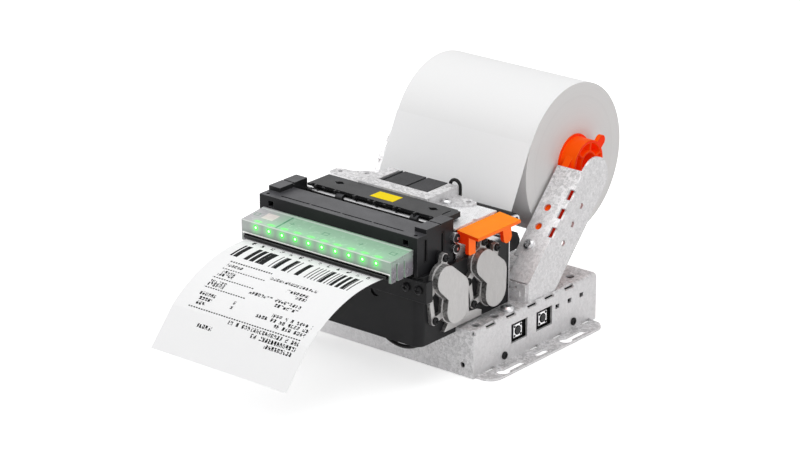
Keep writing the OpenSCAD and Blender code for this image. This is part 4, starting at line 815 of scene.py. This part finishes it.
def add_rivet(name, x, y, z, radius, height):
    """A small domed rivet head that faces +X."""
    clear_selection()
    bpy.ops.mesh.primitive_cylinder_add(vertices=16, radius=radius * MM, depth=height * MM,
                                        location=(x * MM, y * MM, z * MM),
                                        rotation=(0, QUARTER, 0))
    piece = settle(name)
    apply_modifier(piece, "BEVEL", width=height * 0.4 * MM, segments=2)
    smooth_faces()
    return piece


def add_ring(name, x, y, z, radius, thick):
    """A thin ring that faces +X."""
    clear_selection()
    bpy.ops.mesh.primitive_torus_add(major_segments=24, minor_segments=8,
                                     major_radius=radius * MM, minor_radius=thick * MM,
                                     location=(x * MM, y * MM, z * MM),
                                     rotation=(0, QUARTER, 0))
    piece = settle(name)
    smooth_faces()
    return piece


def dress_switches():
    """Carrier, ring and four rivets for each of the two side switches."""
    dark = moulded("switch_black", (0.004, 0.004, 0.004), 0.5, 3.0, rub_and_highlight=0.0, shine=0.06)
    face_x, off = 57.5, 2.3
    corners = ((-off, -off), (-off, off), (off, -off), (off, off))
    for key, y in (("feed", -12.8), ("reset", 6.25)):
        pieces = [
            add_switch_carrier(key + "_switch_carrier", y),
            add_ring(key + "_switch_ring", face_x, y, SWITCH_Z, 2.0, 0.3),
        ]
        for k, (dy, dz) in enumerate(corners):
            name = "%s_switch_rivet_%d" % (key, k)
            pieces.append(add_rivet(name, face_x, y + dy, SWITCH_Z + dz, 0.62, 0.3))
        for piece in pieces:
            piece.data.materials.append(dark)
            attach(piece, "base")


def add_exit_lip(name):
    """Dark bar under the frosted cover, with a shallow groove along its front."""
    clear_selection()
    bpy.ops.mesh.primitive_cube_add(size=1, location=(0.6 * MM, -88.85 * MM, 58.05 * MM))
    piece = settle(name, (83.4 * MM, 1.9 * MM, 1.2 * MM))
    for face in piece.data.polygons:
        face.select = face.normal.y < -0.9
    bpy.ops.object.mode_set(mode="EDIT")
    bpy.ops.mesh.select_mode(type="FACE")
    bpy.ops.mesh.inset(thickness=0.35 * MM)
    bpy.ops.mesh.extrude_region_move(TRANSFORM_OT_translate={"value": (0, 0.4 * MM, 0)})
    bpy.ops.object.mode_set(mode="OBJECT")
    apply_modifier(piece, "BEVEL", width=0.12 * MM, segments=2)
    smooth_faces()
    return piece


def add_guide_ribs():
    """Seven small ribs along the front edge of the paper guide."""
    first, pitch, half = -33.4, 11.7, 0.4
    for k in range(7):
        at = first + pitch * k
        tick = add_box("guide_rib_%d" % k, at - half, at + half, -49.0, -47.4, 71.2, 73.1, 0.15, 2)
        tick.data.materials.append(FINISHES["guide_plastic"])
        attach(tick, "head_unit")


dress_switches()

lip = add_exit_lip("exit_lip")
lip.data.materials.append(
    moulded("lip_black", (0.02, 0.02, 0.021), 0.4, 3.0, (0.3, 0.3, 0.3), 0.7, 0.1))
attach(lip, "base")

label = add_box("guide_label", -4.5, 8.9, -44.0, -36.5, 73.0, 73.12, 0.04, 1)
label.data.materials.append(label_paper("label_paper"))
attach(label, "head_unit")

add_guide_ribs()


# ---------------------------------------------------------------- floor, light and camera

def seen_directly(t):
    """1 where the ray comes straight from the camera, a mirror or clear material."""
    path = t.node("ShaderNodeLightPath").outputs
    return t.any_of([path["Is Camera Ray"], path["Is Glossy Ray"], path["Is Transmission Ray"]])


def set_floor():
    """White floor that also glows a little, so that it meets the background without an edge."""
    clear_selection()
    bpy.ops.mesh.primitive_plane_add(size=12, location=(0, 0, -0.0002))
    floor = bpy.context.object
    floor.name = "floor"
    material, t, shader = start("floor_white")
    where, _ = t.place()
    cloud = t.noise(where, 0.002, 2.0)
    set_colour(t, shader, t.mix(cloud, (0.86, 0.86, 0.86, 1), (0.88, 0.88, 0.88, 1)))
    shader.inputs["Roughness"].default_value = 0.9
    shader.inputs["Specular IOR Level"].default_value = 0.0
    glow = t.node("ShaderNodeEmission")
    glow.inputs["Color"].default_value = (1, 1, 1, 1)
    t.put(glow.inputs["Strength"], t.mul(seen_directly(t), 0.55))
    total = t.node("ShaderNodeAddShader")
    t.put(total.inputs[0], shader.outputs[0])
    t.put(total.inputs[1], glow.outputs[0])
    t.put(material.node_tree.nodes["Material Output"].inputs["Surface"], total.outputs[0])
    floor.data.materials.append(material)


def set_world(strength):
    """White behind everything, and light of the given strength from all sides."""
    world = bpy.data.worlds.new("studio")
    bpy.context.scene.world = world
    world.use_nodes = True
    t = Tree(world.node_tree)
    background = world.node_tree.nodes["Background"]
    background.inputs["Color"].default_value = (1, 1, 1, 1)
    t.put(background.inputs["Strength"], t.add(strength, t.mul(seen_directly(t), 1.0 - strength)))


def add_light(name, place, aim, size, watts):
    light = bpy.data.lights.new(name, "AREA")
    light.shape = "RECTANGLE"
    light.size, light.size_y = size
    light.energy = watts
    lamp_object = bpy.data.objects.new(name, light)
    bpy.context.scene.collection.objects.link(lamp_object)
    lamp_object.location = place
    lamp_object.rotation_euler = (Vector(aim) - Vector(place)).to_track_quat("-Z", "Y").to_euler()


def set_camera():
    camera = bpy.data.cameras.new("camera")
    camera.sensor_width = 36
    camera.lens = 142.38
    camera.clip_start = 0.05
    camera.clip_end = 50
    holder = bpy.data.objects.new("camera", camera)
    bpy.context.scene.collection.objects.link(holder)
    right = Vector((0.77540, 0.63147, 0.0))
    back = Vector((0.59148, -0.72629, 0.35021))
    up = back.cross(right)
    turn = Matrix((right, up, back)).transposed().to_4x4()
    turn.translation = Vector((0.8632, -1.0876, 0.5662))
    holder.matrix_world = turn
    bpy.context.scene.camera = holder


set_floor()
set_world(0.45)
# Name, place, size in metres, watts; all aim at the middle of the part
for name, place, size, watts in (
        ("top_soft", (0.0, -0.1, 1.4), (1.4, 1.2), 9),
        ("left_soft", (-1.1, -0.9, 0.9), (0.9, 0.9), 5),
        ("right_soft", (1.3, -0.2, 0.6), (0.8, 0.8), 3.5)):
    add_light(name, place, (0, 0, 0.05), size, watts)
set_camera()

view = bpy.context.scene.view_settings
view.view_transform = "Standard"
